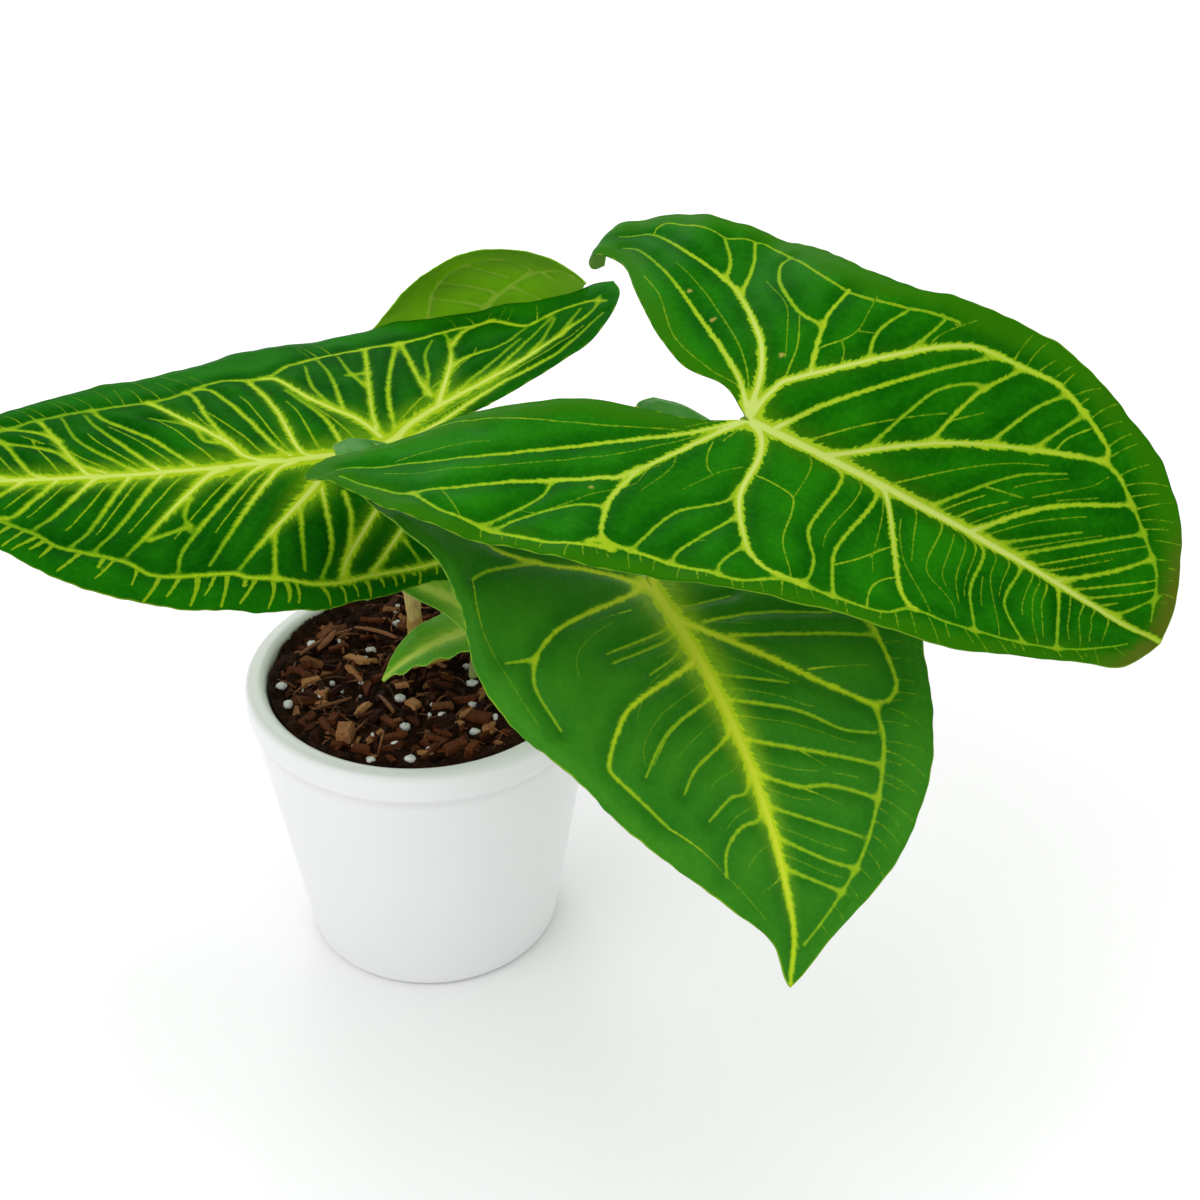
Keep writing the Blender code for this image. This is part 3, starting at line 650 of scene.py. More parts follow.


# %% [markdown]
# ## The six leaves in numbers
# Each leaf has a junction in space and three angles that turn it, in degrees: azimuth about the vertical,
# elevation of its midrib and roll about it. tip pushes the blade's end on and aside. The stalk starts at
# foot, at the soil, and stalk_bend gives the two arms of its curve. Each half of the blade has factors and
# angles of its own, because no real leaf is symmetrical. They could be set by eye, but most were found by
# another program, a least-squares fit that moved and bent the leaves until their outlines, seen through
# the camera, fell on the outlines in the photograph. The swells are that fit's last small corrections.

# %% Leaves
LEAVES = {
    "right": dict(
        junction=(0.0926, -0.0397, 0.2024), azimuth=-25.5, elevation=-14.4, roll=11.4,
        length=0.1200, droop=12.2, tip=(-0.013, 0.019),
        foot=(0.0136, 0.0190), stalk_radius=0.0022, stalk_bend=(0.60, 0.20),
        left=half(0.92, 4.1, 43.3, 3.2, -0.56, -0.10, 74.4, (1.04, 1.03, 0.88, 1.27, 2.24), (-0.71, 0), 80,
                  lobe_shift=(-0.018, 0.015),
                  margin_swell=(-20, 1, -10, 22, 10, -6, 7, -1, -12, -2, -12, -21, -11, 19, 26),
                  notch_swell=(8, 11, 2, -3, -17, -24, 13)),
        right=half(1.17, 4.1, 9.2, -3.9, -0.17, 0.30, 53.9, (1.0, 1.16, 1.04, 1.03, 1.41), (-0.44, 0),
                  lobe_shift=(-0.053, 0.003),
                  margin_swell=(-15, -8, 5, 2, -9, 5, -3, 10, -1, -15, 5, 14, -1, 1, 41),
                  notch_swell=(48, 14, -12, -10, -16, 5, 25)),
    ),
    "left": dict(
        junction=(-0.0060, -0.0005, 0.1720), azimuth=197.0, elevation=0.8, roll=-9.0,
        length=0.1401, droop=-11.9,
        foot=(-0.0034, 0.0195), stalk_radius=0.0018, stalk_bend=(0.45, 0.30), seat=0.0005,
        left=half(0.33, -4.3, -1.2, -48.0, -0.47, -0.76, 52.0, (0.6, 0.52, 0.77, 1.0, 1.02),
                  margin_swell=(1, 1, 7, -3, -14, 11, 18, -2, -2, 1, 2, 0, -2, -2, -1)),
        right=half(0.79, -0.4, 1.6, 2.7, -0.72, -0.74, -50.9, (0.89, 1.03, 1.0, 0.97, 1.14), (0.25, 0.06),
                  lobe_shift=(-0.006, 0.061),
                  margin_swell=(-41, -23, 7, 1, 3, 15, 3, 11, -4, -23, -4, 3, 2, 0, -2),
                  notch_swell=(-26, -22, -10, -10, -11, -9, -4)),
    ),
    "front": dict(
        junction=(0.0680, -0.0472, 0.1559), azimuth=-61.7, elevation=-13.2, roll=-14.1,
        length=0.1150, droop=46.0, tip=(0.011, -0.035),
        foot=(0.0265, 0.0120), stalk_radius=0.0020, stalk_bend=(0.45, 0.30),
        left=half(0.94, -1.5, 25.3, 4.5, 0.25, -0.36, 4.6, (1.1, 1.1, 1.07, 1.24, 1.51),
                  margin_swell=(0, 0, 0, 0, 0, 0, -1, -1, -2, -3, 0, 7, 7, -3, -7),
                  notch_swell=(0, 0, 0, -10, -24, -34)),
        right=half(0.93, 11.3, -8.3, 6.9, -0.61, -0.07, 29.2, (1.0, 0.98, 1.06, 1.0, 0.93),
                  margin_swell=(1, 1, 0, -1, 2, -5, 4, 2, -7, -6, 6, 7, 9, 5, -9),
                  notch_swell=(0, 0, -6, -20, -38, -45)),
    ),
    "back": dict(
        junction=(0.0072, 0.0920, 0.1549), azimuth=42.1, elevation=51.1, roll=-93.6,
        length=0.0646, droop=107.0,
        foot=(0.0059, 0.0275), stalk_radius=0.0016, stalk_bend=(0.45, 0.12),
        left=half(0.34, 5.8, -7.8, 12.4, -0.58, -0.12, 4.0, (0.8, 0.77, 0.79, 1.01, 1.14)),
        right=half(0.48, -6.1, 3.2, 4.0, -0.38, -0.20, 9.7, (0.93, 1.04, 1.02, 0.98, 0.99),
                  margin_swell=(2, 3, 5, 6, 5, 1, 0, 3, -1, -8, -11, -10, -4, 3, 3)),
    ),
    "young_low": dict(
        junction=(0.0194, -0.0031, 0.1120), azimuth=212.8, elevation=7.9, roll=8.0,
        length=0.0362, droop=36.4,
        foot=(0.0156, -0.0010), stalk_radius=0.0011, stalk_bend=(0.45, 0.30),
        left=half(0.44, 0.1, 4.4, 4.8, -0.34, -0.30, 5.0, (0.75, 0.75, 0.75, 0.76, 0.83),
                  margin_swell=(0, 0, 12, -14, 10, -18, 14, -26, 20, -30, 24, -22, 34, -10)),
        right=half(0.45, 0.0, 9.9, 1.8, -0.37, -0.38, 5.0, (0.75, 0.74, 0.73, 0.77, 0.83)),
    ),
    "young_high": dict(
        junction=(0.0177, -0.0135, 0.1250), azimuth=154.4, elevation=13.9, roll=-4.2,
        length=0.0336, droop=14.1,
        foot=(0.0068, 0.0150), stalk_radius=0.0011, stalk_bend=(0.80, 0.12),
        left=half(0.45, -0.2, 16.9, 5.6, -0.12, -0.29, 5.0, (0.6, 0.6, 0.52, 0.62, 0.66)),
        right=half(0.45, 0.1, 10.0, 5.1, -0.30, -0.30, 5.0, (0.6, 0.6, 0.6, 0.6, 0.6)),
    ),
}
print("midribs:", ", ".join(f"{name} {leaf['length'] * 1000:.0f} mm" for name, leaf in LEAVES.items()))

# %% [markdown]
# ## The veins as lines
# The veins make this plant what it is, so each larger one was traced: its points and widths were read off
# the photograph by eye, and another program carried the points through the camera onto the flat leaf and
# printed these lists. Each line of text is one vein, a smooth line from a start width to an end width: both
# widths in millimetres, then points along and across the leaf, in shares of the midrib. An indented line
# goes on with the vein above it. "ring" marks the veins that run along the margin and gather the others.

# %% Veins of the right leaf
VEINS = {}
VEINS["right", "left"] = """
ring 2.4 1:  -0.006 0.009  0.013 0.094  0.04 0.133  0.321 0.338  0.399 0.36  0.5 0.366  0.545 0.361
  0.678 0.3  0.694 0.273  0.742 0.252  0.866 0.155  0.906 0.115  0.952 0.03
1.3 0.5:  0.057 0.009  0.147 0.121  0.4 0.358
2 1:  0.177 0  0.417 0.155  0.691 0.271
0.6 0.4:  0.252 0.051  0.311 0.205  0.341 0.249  0.386 0.282  0.411 0.285
0.9 0.6:  0.362 0.125  0.398 0.259  0.453 0.357
0.7 0.5:  0.468 0.178  0.518 0.298  0.558 0.351
0.6 0.5:  0.551 0.211  0.609 0.336
0.5 0.4:  0.594 0.229  0.602 0.269  0.637 0.319
0.4 0.3:  0.381 0.19  0.435 0.239
0.7 0.3:  0.42 0.001  0.547 0.147  0.638 0.207
0.4 0.3:  0.51 0.101  0.586 0.117
0.5 0.3:  0.476 0  0.524 0.059  0.685 0.202  0.713 0.247
1.3 0.7:  0.525 0.001  0.633 0.121  0.778 0.22
0.6 0.15:  0.589 0.01  0.725 0.118
0.6 0.4:  0.638 0.012  0.832 0.182
0.5 0.3:  0.678 0.008  0.852 0.165
1 0.6:  0.731 0.003  0.815 0.076  0.874 0.146
0.5 0.4:  0.776 0.009  0.904 0.111
0.5 0.4:  0.811 0.01  0.917 0.095
0.6 0.4:  0.873 0.007  0.937 0.088
2.5 0.9:  -0.008 0.014  -0.028 0.107  -0.053 0.166  -0.088 0.222  -0.192 0.345  -0.254 0.386
  -0.349 0.425  -0.482 0.495  -0.566 0.478
0.9 0.6:  -0.182 0.34  -0.203 0.452  -0.235 0.534
0.8 0.5:  -0.239 0.379  -0.255 0.441  -0.304 0.515
ring 0.5 0.7:  -0.482 0.495  -0.48 0.522  -0.452 0.54  -0.304 0.515  -0.236 0.536  -0.182 0.524
  0.042 0.378  0.299 0.381
1.7 0.7:  -0.014 0.021  -0.088 0.105  -0.36 0.336  -0.487 0.426  -0.534 0.435
0.3 0.3:  -0.415 0.317  -0.346 0.258  -0.25 0.14  -0.138 0.083  -0.057 0.069
1.2 0.8:  0.066 0.154  0.035 0.293  0.048 0.379
0.7 0.5:  0.036 0.277  -0.029 0.301  -0.099 0.371  -0.129 0.421  -0.14 0.467  -0.127 0.488
0.5 0.3:  0.024 0.109  0.011 0.209  -0.027 0.296
0.5 0.4:  0.056 0.219  0.113 0.278  0.117 0.381
0.4 0.3:  0.117 0.198  0.112 0.229  0.095 0.251
0.7 0.5:  0.168 0.222  0.155 0.299  0.195 0.375
0.3 0.3:  0.154 0.296  0.119 0.285
0.6 0.4:  0.23 0.268  0.27 0.373  0.259 0.383
0.4 0.3:  0.264 0.295  0.277 0.339  0.33 0.406
"""
VEINS["right", "right"] = """
2.6 1:  0.004 0  0.032 0.017  0.052 0.046  0.068 0.102  0.083 0.229  0.152 0.357  0.187 0.389
  0.226 0.403  0.299 0.391
0.5 0.3:  0.085 0.149  0.171 0.17  0.193 0.213  0.214 0.313  0.271 0.396
0.6 0.5:  0.075 0.191  0.06 0.264  -0.011 0.343  -0.039 0.489
0.7 0.5:  0.107 0.279  0.048 0.432  0.045 0.479
0.6 0.4:  0.154 0.362  0.133 0.437  0.143 0.474
0.3 0.3:  0.061 0.395  0.087 0.385
0.8 0.5:  0.239 0.039  0.24 0.22  0.254 0.266  0.284 0.311  0.297 0.361  0.293 0.386
0.9 0.6:  0.321 0.039  0.311 0.232  0.32 0.293  0.357 0.38
0.5 0.4:  0.326 0.296  0.363 0.251  0.404 0.166
1.9 0.9:  0.34 0.025  0.458 0.263  0.494 0.301  0.508 0.304
0.5 0.4:  0.445 0.243  0.42 0.287  0.414 0.326  0.427 0.372
0.3 0.2:  0.39 0.073  0.41 0.132  0.455 0.209  0.537 0.289
0.5 0.4:  0.47 0.024  0.481 0.157  0.5 0.198  0.566 0.235  0.589 0.268
0.3 0.2:  0.529 0.037  0.551 0.166  0.608 0.277
0.6 0.4:  0.573 0.034  0.585 0.162  0.632 0.266
0.3 0.2:  0.598 0.025  0.612 0.109  0.679 0.241
0.6 0.3:  0.655 0.017  0.654 0.113  0.665 0.159  0.725 0.22
0.3 0.2:  0.701 0.017  0.706 0.093  0.727 0.158  0.756 0.206
0.8 0.4:  0.743 0.007  0.793 0.185
0.4 0.2:  0.805 0.006  0.808 0.067  0.834 0.14
0.5 0.3:  0.864 0.001  0.871 0.091
ring 0.9 0.4:  -0.121 0.516  -0.084 0.495  0.149 0.473  0.192 0.46  0.255 0.409  0.299 0.391
  0.411 0.372  0.462 0.352  0.505 0.307  0.592 0.282  0.782 0.193  0.925 0.052
1.6 0.5:  -0.007 0.005  -0.075 0.089  -0.14 0.151  -0.412 0.36  -0.504 0.413  -0.751 0.499
2 0.5:  -0.007 0.005  -0.144 0.283  -0.192 0.327  -0.332 0.416  -0.462 0.518  -0.519 0.546
  -0.602 0.542  -0.72 0.522
1.6 0.9:  -0.132 0.261  -0.143 0.366  -0.129 0.43  -0.105 0.487  -0.071 0.509
0.4 0.3:  -0.691 0.393  -0.635 0.335  -0.556 0.29  -0.266 0.185  -0.112 0.112
ring 0.6 0.9:  -0.519 0.546  -0.451 0.574  -0.389 0.581  -0.205 0.561  -0.071 0.509
0.6 0.5:  -0.274 0.383  -0.274 0.443  -0.333 0.575
0.6 0.5:  -0.143 0.402  -0.193 0.425  -0.228 0.459  -0.272 0.51  -0.309 0.573
0.3 0.3:  -0.464 0.515  -0.373 0.581
0.4 0.3:  -0.036 0.105  -0.028 0.151  -0.01 0.189  0.006 0.199
0.3 0.3:  0.053 0.141  0.019 0.184  -0.026 0.275
0.3 0.3:  -0.086 0.181  -0.075 0.23  -0.098 0.328
0.3 0.3:  -0.102 0.231  -0.116 0.256  -0.115 0.311
0.3 0.2:  -0.628 0.446  -0.529 0.375  -0.451 0.335
0.3 0.2:  -0.176 0.175  -0.037 0.019
"""

# %% Veins of the left leaf
VEINS["left", "right"] = """
3.2 1.2:  -0.002 0.002  -0.099 0.09  -0.502 0.299  -0.552 0.369
1.7 0.8:  -0.012 0.005  -0.098 0.041  -0.273 0.145  -0.42 0.202  -0.54 0.288
2.2 0.9:  -0.128 0.104  -0.19 0.253  -0.211 0.345  -0.214 0.409
0.9 0.6:  -0.187 0.24  -0.24 0.282  -0.31 0.297  -0.376 0.339
0.9 0.6:  -0.215 0.344  -0.259 0.416  -0.319 0.442
0.7 0.5:  -0.232 0.157  -0.439 0.349
0.6 0.5:  -0.361 0.231  -0.406 0.279  -0.443 0.336
0.5 0.4:  -0.436 0.262  -0.501 0.341
0.6 0.4:  -0.176 0.145  -0.356 0.302
0.9 0.6:  -0.127 0.149  -0.116 0.212  -0.113 0.401
0.6 0.5:  -0.114 0.153  -0.137 0.227  -0.15 0.315  -0.18 0.385
2 1:  -0.002 0.022  0.038 0.103  0.115 0.198  0.171 0.299  0.2 0.312
1 0.7:  0.005 0.063  0.004 0.128  -0.038 0.41
0.7 0.6:  -0.027 0.049  -0.044 0.194  -0.103 0.395
0.8 0.6:  0.06 0.13  0.059 0.294  0.07 0.379
0.6 0.5:  0.083 0.17  0.105 0.256  0.102 0.356
0.6 0.4:  -0.002 0.229  0.016 0.297  0.025 0.385
0.6 0.4:  -0.02 0.284  0.029 0.286
1.1 0.5:  0.082 0  0.103 0.121  0.163 0.247
1.5 0.7:  0.142 0  0.172 0.025  0.195 0.179  0.23 0.307
0.9 0.5:  0.177 0  0.218 0.05  0.304 0.276  0.341 0.305
2 0.9:  0.229 0  0.282 0.028  0.313 0.084  0.443 0.251
0.7 0.4:  0.308 0.076  0.351 0.09  0.373 0.148  0.448 0.185
0.9 0.6:  0.282 0.028  0.331 0.161  0.347 0.257  0.363 0.293
1 0.5:  0.452 0.006  0.553 0.159  0.573 0.213
0.8 0.4:  0.376 0  0.457 0.112  0.536 0.188  0.557 0.231
0.7 0.4:  0.499 0.011  0.593 0.113  0.618 0.206
1.2 0.6:  0.594 0.014  0.662 0.194
0.7 0.4:  0.63 0.123  0.675 0.156  0.74 0.172
0.8 0.4:  0.696 0.021  0.743 0.129  0.77 0.151
0.7 0.4:  0.609 0.047  0.652 0.09  0.744 0.122
0.7 0.3:  0.77 0.022  0.795 0.063  0.83 0.089
0.6 0.3:  0.834 0.02  0.887 0.057
ring 0.8 1.2:  -0.319 0.442  -0.251 0.434  -0.112 0.396  -0.038 0.41  0.062 0.396  0.133 0.362
  0.2 0.312  0.296 0.324  0.418 0.257  0.621 0.219  0.741 0.161  0.951 0.025
ring 0.5 0.7:  -0.558 0.334  -0.528 0.363  -0.442 0.363  -0.379 0.353  -0.319 0.442
"""
VEINS["left", "left"] = """
2.4 1.3:  0.154 0.067  0.342 0.281
1.5 0.9:  0.24 0.04  0.396 0.264
1.2 0.8:  0.293 0.039  0.435 0.215  0.455 0.268
2.2 1.2:  0.37 0.03  0.543 0.223
1 0.7:  0.454 0.013  0.551 0.151  0.599 0.205
1 0.6:  0.511 0.006  0.603 0.152  0.639 0.189
1.4 0.8:  0.577 0.006  0.662 0.106  0.701 0.139
0.9 0.5:  0.642 0  0.734 0.101  0.762 0.108
1.2 0.6:  0.708 0.002  0.796 0.08
0.9 0.5:  0.772 0.002  0.849 0.07
0.8 0.4:  0.845 0.007  0.892 0.042
1.1 0.7:  0.148 0.08  0.156 0.222  0.191 0.305
0.8 0.6:  0.105 0.094  0.104 0.159  0.145 0.299
1.5 0.9:  0.033 0.114  0.124 0.24  0.147 0.289
1.3 0.8:  -0.004 0.169  0.084 0.272
0.7 0.5:  0.2 0.126  0.221 0.292
0.6 0.5:  0.261 0.193  0.282 0.316
0.6 0.4:  0.406 0.084  0.423 0.13  0.419 0.171
0.5 0.4:  0.496 0.188  0.417 0.158
0.7 0.5:  0.002 0.201  -0.022 0.243
ring 1 1.3:  -0.068 0.248  0.081 0.278  0.188 0.318  0.251 0.32  0.328 0.307  0.362 0.29  0.472 0.281
  0.511 0.27  0.554 0.235  0.661 0.192  0.711 0.148  0.831 0.076  0.953 0.022
"""

# %% Veins of the front leaf
VEINS["front", "right"] = """
ring 2.4 1.1:  0.006 0.003  -0.039 0.069  -0.076 0.162  -0.087 0.226  -0.12 0.321  -0.152 0.374
  -0.277 0.419  -0.425 0.452  -0.569 0.469
0.8 0.4:  -0.098 0.287  -0.087 0.404  -0.074 0.449
2.3 0.2:  -0.013 0.009  0.022 0.082  0.07 0.278  0.118 0.359  0.158 0.386  0.204 0.394  0.311 0.376
0.9 0.4:  0.129 0.371  0.117 0.437
0.45 0.25:  0.614 0.232  0.7 0.165  0.86 0.066
2.2 0.3:  0.238 0.015  0.304 0.198  0.34 0.246  0.424 0.308  0.465 0.31  0.614 0.232
1 0.3:  0.134 0.037  0.164 0.204
0.9 0.3:  0.163 0.042  0.191 0.201
0.7 0.3:  0.208 0.045  0.244 0.133
1.1 0.4:  0.335 0.018  0.386 0.139  0.43 0.195  0.485 0.244
0.5 0.3:  0.354 0.067  0.401 0.155  0.463 0.218
1.3 0.3:  0.44 0.026  0.497 0.128  0.546 0.174
0.8 0.4:  0.575 0.033  0.58 0.073  0.619 0.138
0.7 0.4:  0.64 0.022  0.648 0.068  0.675 0.105  0.706 0.125  0.747 0.135
0.5 0.3:  0.775 0.014  0.796 0.063
0.4 0.3:  -0.074 0.449  -0 0.463  0.087 0.458  0.2 0.438  0.281 0.42
0.5 0.3:  0.068 0.096  0.078 0.203
"""
VEINS["front", "left"] = """
2.6 1.2:  0.125 0.014  0.368 0.205  0.482 0.32
1 0.4:  0.207 0.095  0.34 0.382
1 0.4:  0.145 0.058  0.178 0.181  0.255 0.324
0.8 0.3:  0.082 0.032  0.103 0.153
0.5 0.3:  0.356 0.211  0.399 0.343
1.1 0.5:  0.347 0.006  0.432 0.147  0.504 0.226  0.534 0.291
1.1 0.5:  0.453 0.007  0.598 0.272
0.5 0.3:  0.512 0.112  0.572 0.161
1 0.4:  0.546 0.017  0.594 0.089  0.61 0.155  0.661 0.245
0.5 0.3:  0.594 0.089  0.658 0.166
0.7 0.3:  0.283 0.017  0.368 0.158
0.7 0.3:  0.622 0.017  0.728 0.189
0.7 0.3:  0.691 0.013  0.758 0.101  0.79 0.163
0.6 0.3:  0.754 0.005  0.83 0.119
ring 1 0.8:  0.316 0.391  0.431 0.389  0.462 0.378  0.479 0.35  0.482 0.32  0.558 0.301  0.693 0.23
  0.783 0.165  0.92 0.024
2.2 0.9:  0.004 0  -0.213 0.153  -0.4 0.242  -0.586 0.306  -0.675 0.349
ring 0.9 0.5:  -0.124 0.093  -0.164 0.205  -0.013 0.221  0.164 0.301  0.311 0.385
"""

# %% Veins of the back leaf
VEINS["back", "right"] = """
1 0.6:  0.271 0.013  0.173 0.33
1 0.6:  0.364 0.039  0.267 0.352
1 0.6:  0.487 0.054  0.411 0.312
0.8 0.5:  0.616 0.039  0.582 0.149  0.524 0.23
0.9 0.6:  0.193 0.039  0.075 0.274
ring 1.2 0.8:  0.022 0.236  0.182 0.323  0.279 0.342  0.374 0.326  0.645 0.148  0.734 0.063
0.5 0.4:  0.182 0.323  0.097 0.478
0.5 0.4:  0.279 0.342  0.263 0.439  0.225 0.461
"""

# %% [markdown]
# ## Reading and growing veins
# The lists become smooth lines in millimetres. Tracing every hair-thin vein would take days, and nobody
# could tell them apart, so the finer ones grow by rule: ladder twigs run from a ring vein out to the
# margin and lean towards the tip, and a thin vein runs halfway between each two side veins. Where a fine
# line would run beside another one, closer than the mesh can tell apart, that stretch is left out.

# %% Traced veins
VEIN_STEP = 0.6


def read_veins(text, length):
    """The veins of half a blade: (start width, end width, points in millimetres, whether it is a ring). A
    vein that starts close to the midrib is led back to the midrib."""
    veins = []
    for line in text.strip().replace("\n  ", "  ").splitlines():
        head, tail = line.split(":")
        start, end = [float(word) for word in head.replace("ring", "").split()]
        spots = np.array(tail.split(), float).reshape(-1, 2)
        if spots[0, 0] > 0.06 and spots[0, 1] < 0.05:
            root = (spots[0, 0] - 1.1 * spots[0, 1] - 0.012, 0)
            spots = np.vstack([root, spots])
        spots = spots * length
        size = np.linalg.norm(np.diff(spots, axis=0), axis=1).sum()
        path = smooth_curve(spots, max(int(size / VEIN_STEP), 3))
        veins.append((start, end, path, "ring" in head))
    return veins


# %% Veins by rule
def side_veins(length, count, slant, reach, width, seed):
    """Side veins by rule, for the small leaves: lines that leave the midrib at even stations and bend
    towards the tip on their way to the margin."""
    rng = np.random.default_rng(seed)
    veins = []
    for station in np.linspace(0.04, 0.86, count):
        out = reach * (1 - 0.75 * station) * rng.uniform(0.9, 1.05)
        share = np.linspace(0, 1, 24)
        along = station + out * slant * (0.7 * share + 0.5 * share**2)
        veins.append((width, width * 0.45, np.stack([along, out * share], 1) * length, False))
    return veins


def ladder(veins, margin, gap, width, onward, seed):
    """Twigs from each ring to the margin, each from a point of the ring towards its nearest margin point,
    moved a little ahead. They are about gap apart and width wide, and none starts less than onward
    millimetres along the leaf."""
    rng = np.random.default_rng(seed)
    twigs = []
    for path in [vein[2] for vein in veins if vein[3]]:
        run = run_along(path)
        for at in np.arange(gap * rng.uniform(0.3, 0.9), run[-1] - 2, gap):
            at = at + rng.uniform(-0.4, 0.4) * gap
            start = np.array([np.interp(at, run, path[:, axis]) for axis in (0, 1)])
            target = margin[np.linalg.norm(margin - start, axis=1).argmin()]
            room = np.linalg.norm(target - start)
            if not 1.5 < room < 15 or start[0] < onward:
                continue
            ahead = np.array([np.interp(at + 1, run, path[:, axis]) for axis in (0, 1)]) - start
            share = np.linspace(0, rng.uniform(0.55, 1.0), 14)[:, None]
            bow = (target - start) * share + ahead * room * 0.28 * rng.uniform(0.3, 1.3) * share**2
            twigs.append((width * rng.uniform(0.6, 1.3), width * 0.35, start + bow, False))
    return twigs


def halfway(veins, width, seed):
    """A finer vein between each two neighbouring side veins: the average of both lines at equal shares of
    their length, plus a slow wave of 0.4 mm, up to about nine tenths of the way."""
    rng = np.random.default_rng(seed)
    side = [path for _, _, path, ring in veins if not ring and path[0, 1] < 5 and path[-1, 1] > 7]
    side.sort(key=lambda path: path[0, 0] + 0.05 * path[-1, 0])
    share = np.linspace(0, 1, 40)
    even = [
        np.stack([np.interp(share, np.linspace(0, 1, len(path)), path[:, axis]) for axis in (0, 1)], 1)
        for path in side
    ]
    finer = []
    for first, second in zip(even[:-1], even[1:]):
        lean = rng.uniform(0.35, 0.65)
        wave = 0.4 * np.sin(share * rng.uniform(9, 16) + rng.uniform(0, 6))[:, None] * share[:, None]
        path = first * lean + second * (1 - lean) + wave
        finer.append((width * rng.uniform(0.8, 1.3), width * 0.5, path[:int(rng.uniform(28, 39))], False))
    return finer


# %% Room for the fine veins
FINE_ROOM, LONE_END, HAIR = 1.9, 1.5, 0.12


def kept_apart(lines, room):
    """The lines without the stretches that run beside an earlier line: nearer than room, and within about 35
    degrees of its direction. What is left of a line keeps the widths that it had there."""
    kept, directions = [], []
    for start, end, path, ring in lines:
        ahead = np.gradient(path, axis=0)
        ahead /= np.linalg.norm(ahead, axis=1)[:, None] + 1e-9
        free = np.ones(len(path), bool)
        for (_, _, other, _), heading in zip(kept, directions):
            gap = np.linalg.norm(path[:, None] - other[None], axis=2)
            closest = gap.argmin(1)
            free &= (gap.min(1) > room) | (abs((ahead * heading[closest]).sum(1)) < 0.82)
        ends = np.flatnonzero(np.diff(np.concatenate([[0], free, [0]])))
        for first, last in zip(ends[::2], ends[1::2]):
            if last - first > 3:
                width = start + (end - start) * np.array([first, last]) / len(path)
                kept.append((*width, path[first:last], ring))
                directions.append(ahead[first:last])
    return kept


def thin_ends(lines):
    """The lines, each with a hair-thin end where it ends more than LONE_END away from all the others."""
    tapered = []
    for number, (start, end, path, ring) in enumerate(lines):
        others = np.vstack([line[2] for n, line in enumerate(lines) if n != number])
        alone = np.linalg.norm(others - path[-1], axis=1).min() > LONE_END
        tapered.append((start, HAIR if alone else end, path, ring))
    return tapered


# %% [markdown]
# ## Which vein is nearest
# The pattern is painted from numbers that the mesh carries: for each point, the way to its nearest vein,
# and how far along that vein it is, how wide the vein is there, and the vein's number. The way is a
# vector, so between two points on either side of a vein it passes through zero just on the vein, and
# the line comes out crisp on a coarse mesh. Two more numbers are soft: the distance to all the veins
# blended into one, which fills the corners where veins meet, and a bloom round the widest ones.

# %% Nearest vein
SOFTNESS, FAR = 0.7, 99.0


def nearest_vein(veins, spots, reach, flare):
    """For each spot: (way x, way y, distance) to the middle of the vein whose edge is nearest, (run, width,
    number) of that vein, and (blended distance, bloom, 0). Width = the vein's own, and where it leaves the
    midrib, + flare times its start width times exp(-(run / 4)^2). The blended distance is -SOFTNESS times
    the log of the sum of exp(-edge / SOFTNESS)."""
    way = np.tile([FAR, 0.0, FAR], (len(spots), 1))
    about = np.tile([0.0, 0.1, 0.0], (len(spots), 1))
    best = np.full(len(spots), reach)
    crowd, bloom = np.full(len(spots), 1e-9), np.zeros(len(spots))
    for number, (start, end, path, _) in enumerate(veins):
        near = np.flatnonzero(((spots > path.min(0) - reach) & (spots < path.max(0) + reach)).all(1))
        if not len(near):
            continue
        here = spots[near]
        step = np.diff(path, axis=0)
        size = np.linalg.norm(step, axis=1)
        run = run_along(path)
        closest = ((here[:, None] - path[None]) ** 2).sum(-1).argmin(1)
        found = np.full(len(near), FAR)
        foot = np.zeros_like(here)
        along = np.zeros(len(near))
        for k in (np.clip(closest - 1, 0, len(step) - 1), np.clip(closest, 0, len(step) - 1)):
            share = np.clip(((here - path[k]) * step[k]).sum(1) / size[k] ** 2, 0, 1)
            spot = path[k] + step[k] * share[:, None]
            gap = np.linalg.norm(spot - here, axis=1)
            closer = gap < found
            found[closer], foot[closer] = gap[closer], spot[closer]
            along[closer] = (run[k] + share * size[k])[closer]
        width = start + (end - start) * along / run[-1]
        width = width + flare * start * np.exp(-((along / 4.0) ** 2)) * (number > 0 and path[0, 1] < 3)
        edge = found - width / 2
        crowd[near] += np.exp(-np.maximum(edge, -2) / SOFTNESS)
        glow = np.clip((width - 1.0) / 2.5, 0, 1) * np.exp(-((np.maximum(edge, 0) / (0.9 * width)) ** 2))
        bloom[near] = np.maximum(bloom[near], glow)
        win = edge < best[near]
        which = near[win]
        best[which] = edge[win]
        way[which] = np.column_stack([(foot - here)[win], found[win]])
        about[which] = np.column_stack([along[win], width[win], np.full(win.sum(), number)])
    return way, about, np.column_stack([-SOFTNESS * np.log(crowd), bloom, 0 * bloom])


# %% [markdown]
# ## Building a blade
# The two halves meet at the midrib and are welded there. The upper face rises a little between the main
# veins, which lie sunk, and the lower face is set back by the blade's thickness and drops into a ridge
# under each main vein. Solidify would give an even thickness, so the lower face is worked out here
# instead, and a wall along the border closes the two faces into one solid sheet.

# %% Welding and closing
def welded(points, faces):
    """Which points stay when equal ones are made one, and the faces without those that lost their area."""
    _, first, index = np.unique(np.round(points, 7), axis=0, return_index=True, return_inverse=True)
    faces = index.reshape(-1)[faces]
    whole = (faces[:, 0] != faces[:, 1]) & (faces[:, 1] != faces[:, 2]) & (faces[:, 2] != faces[:, 0])
    return first, faces[whole]


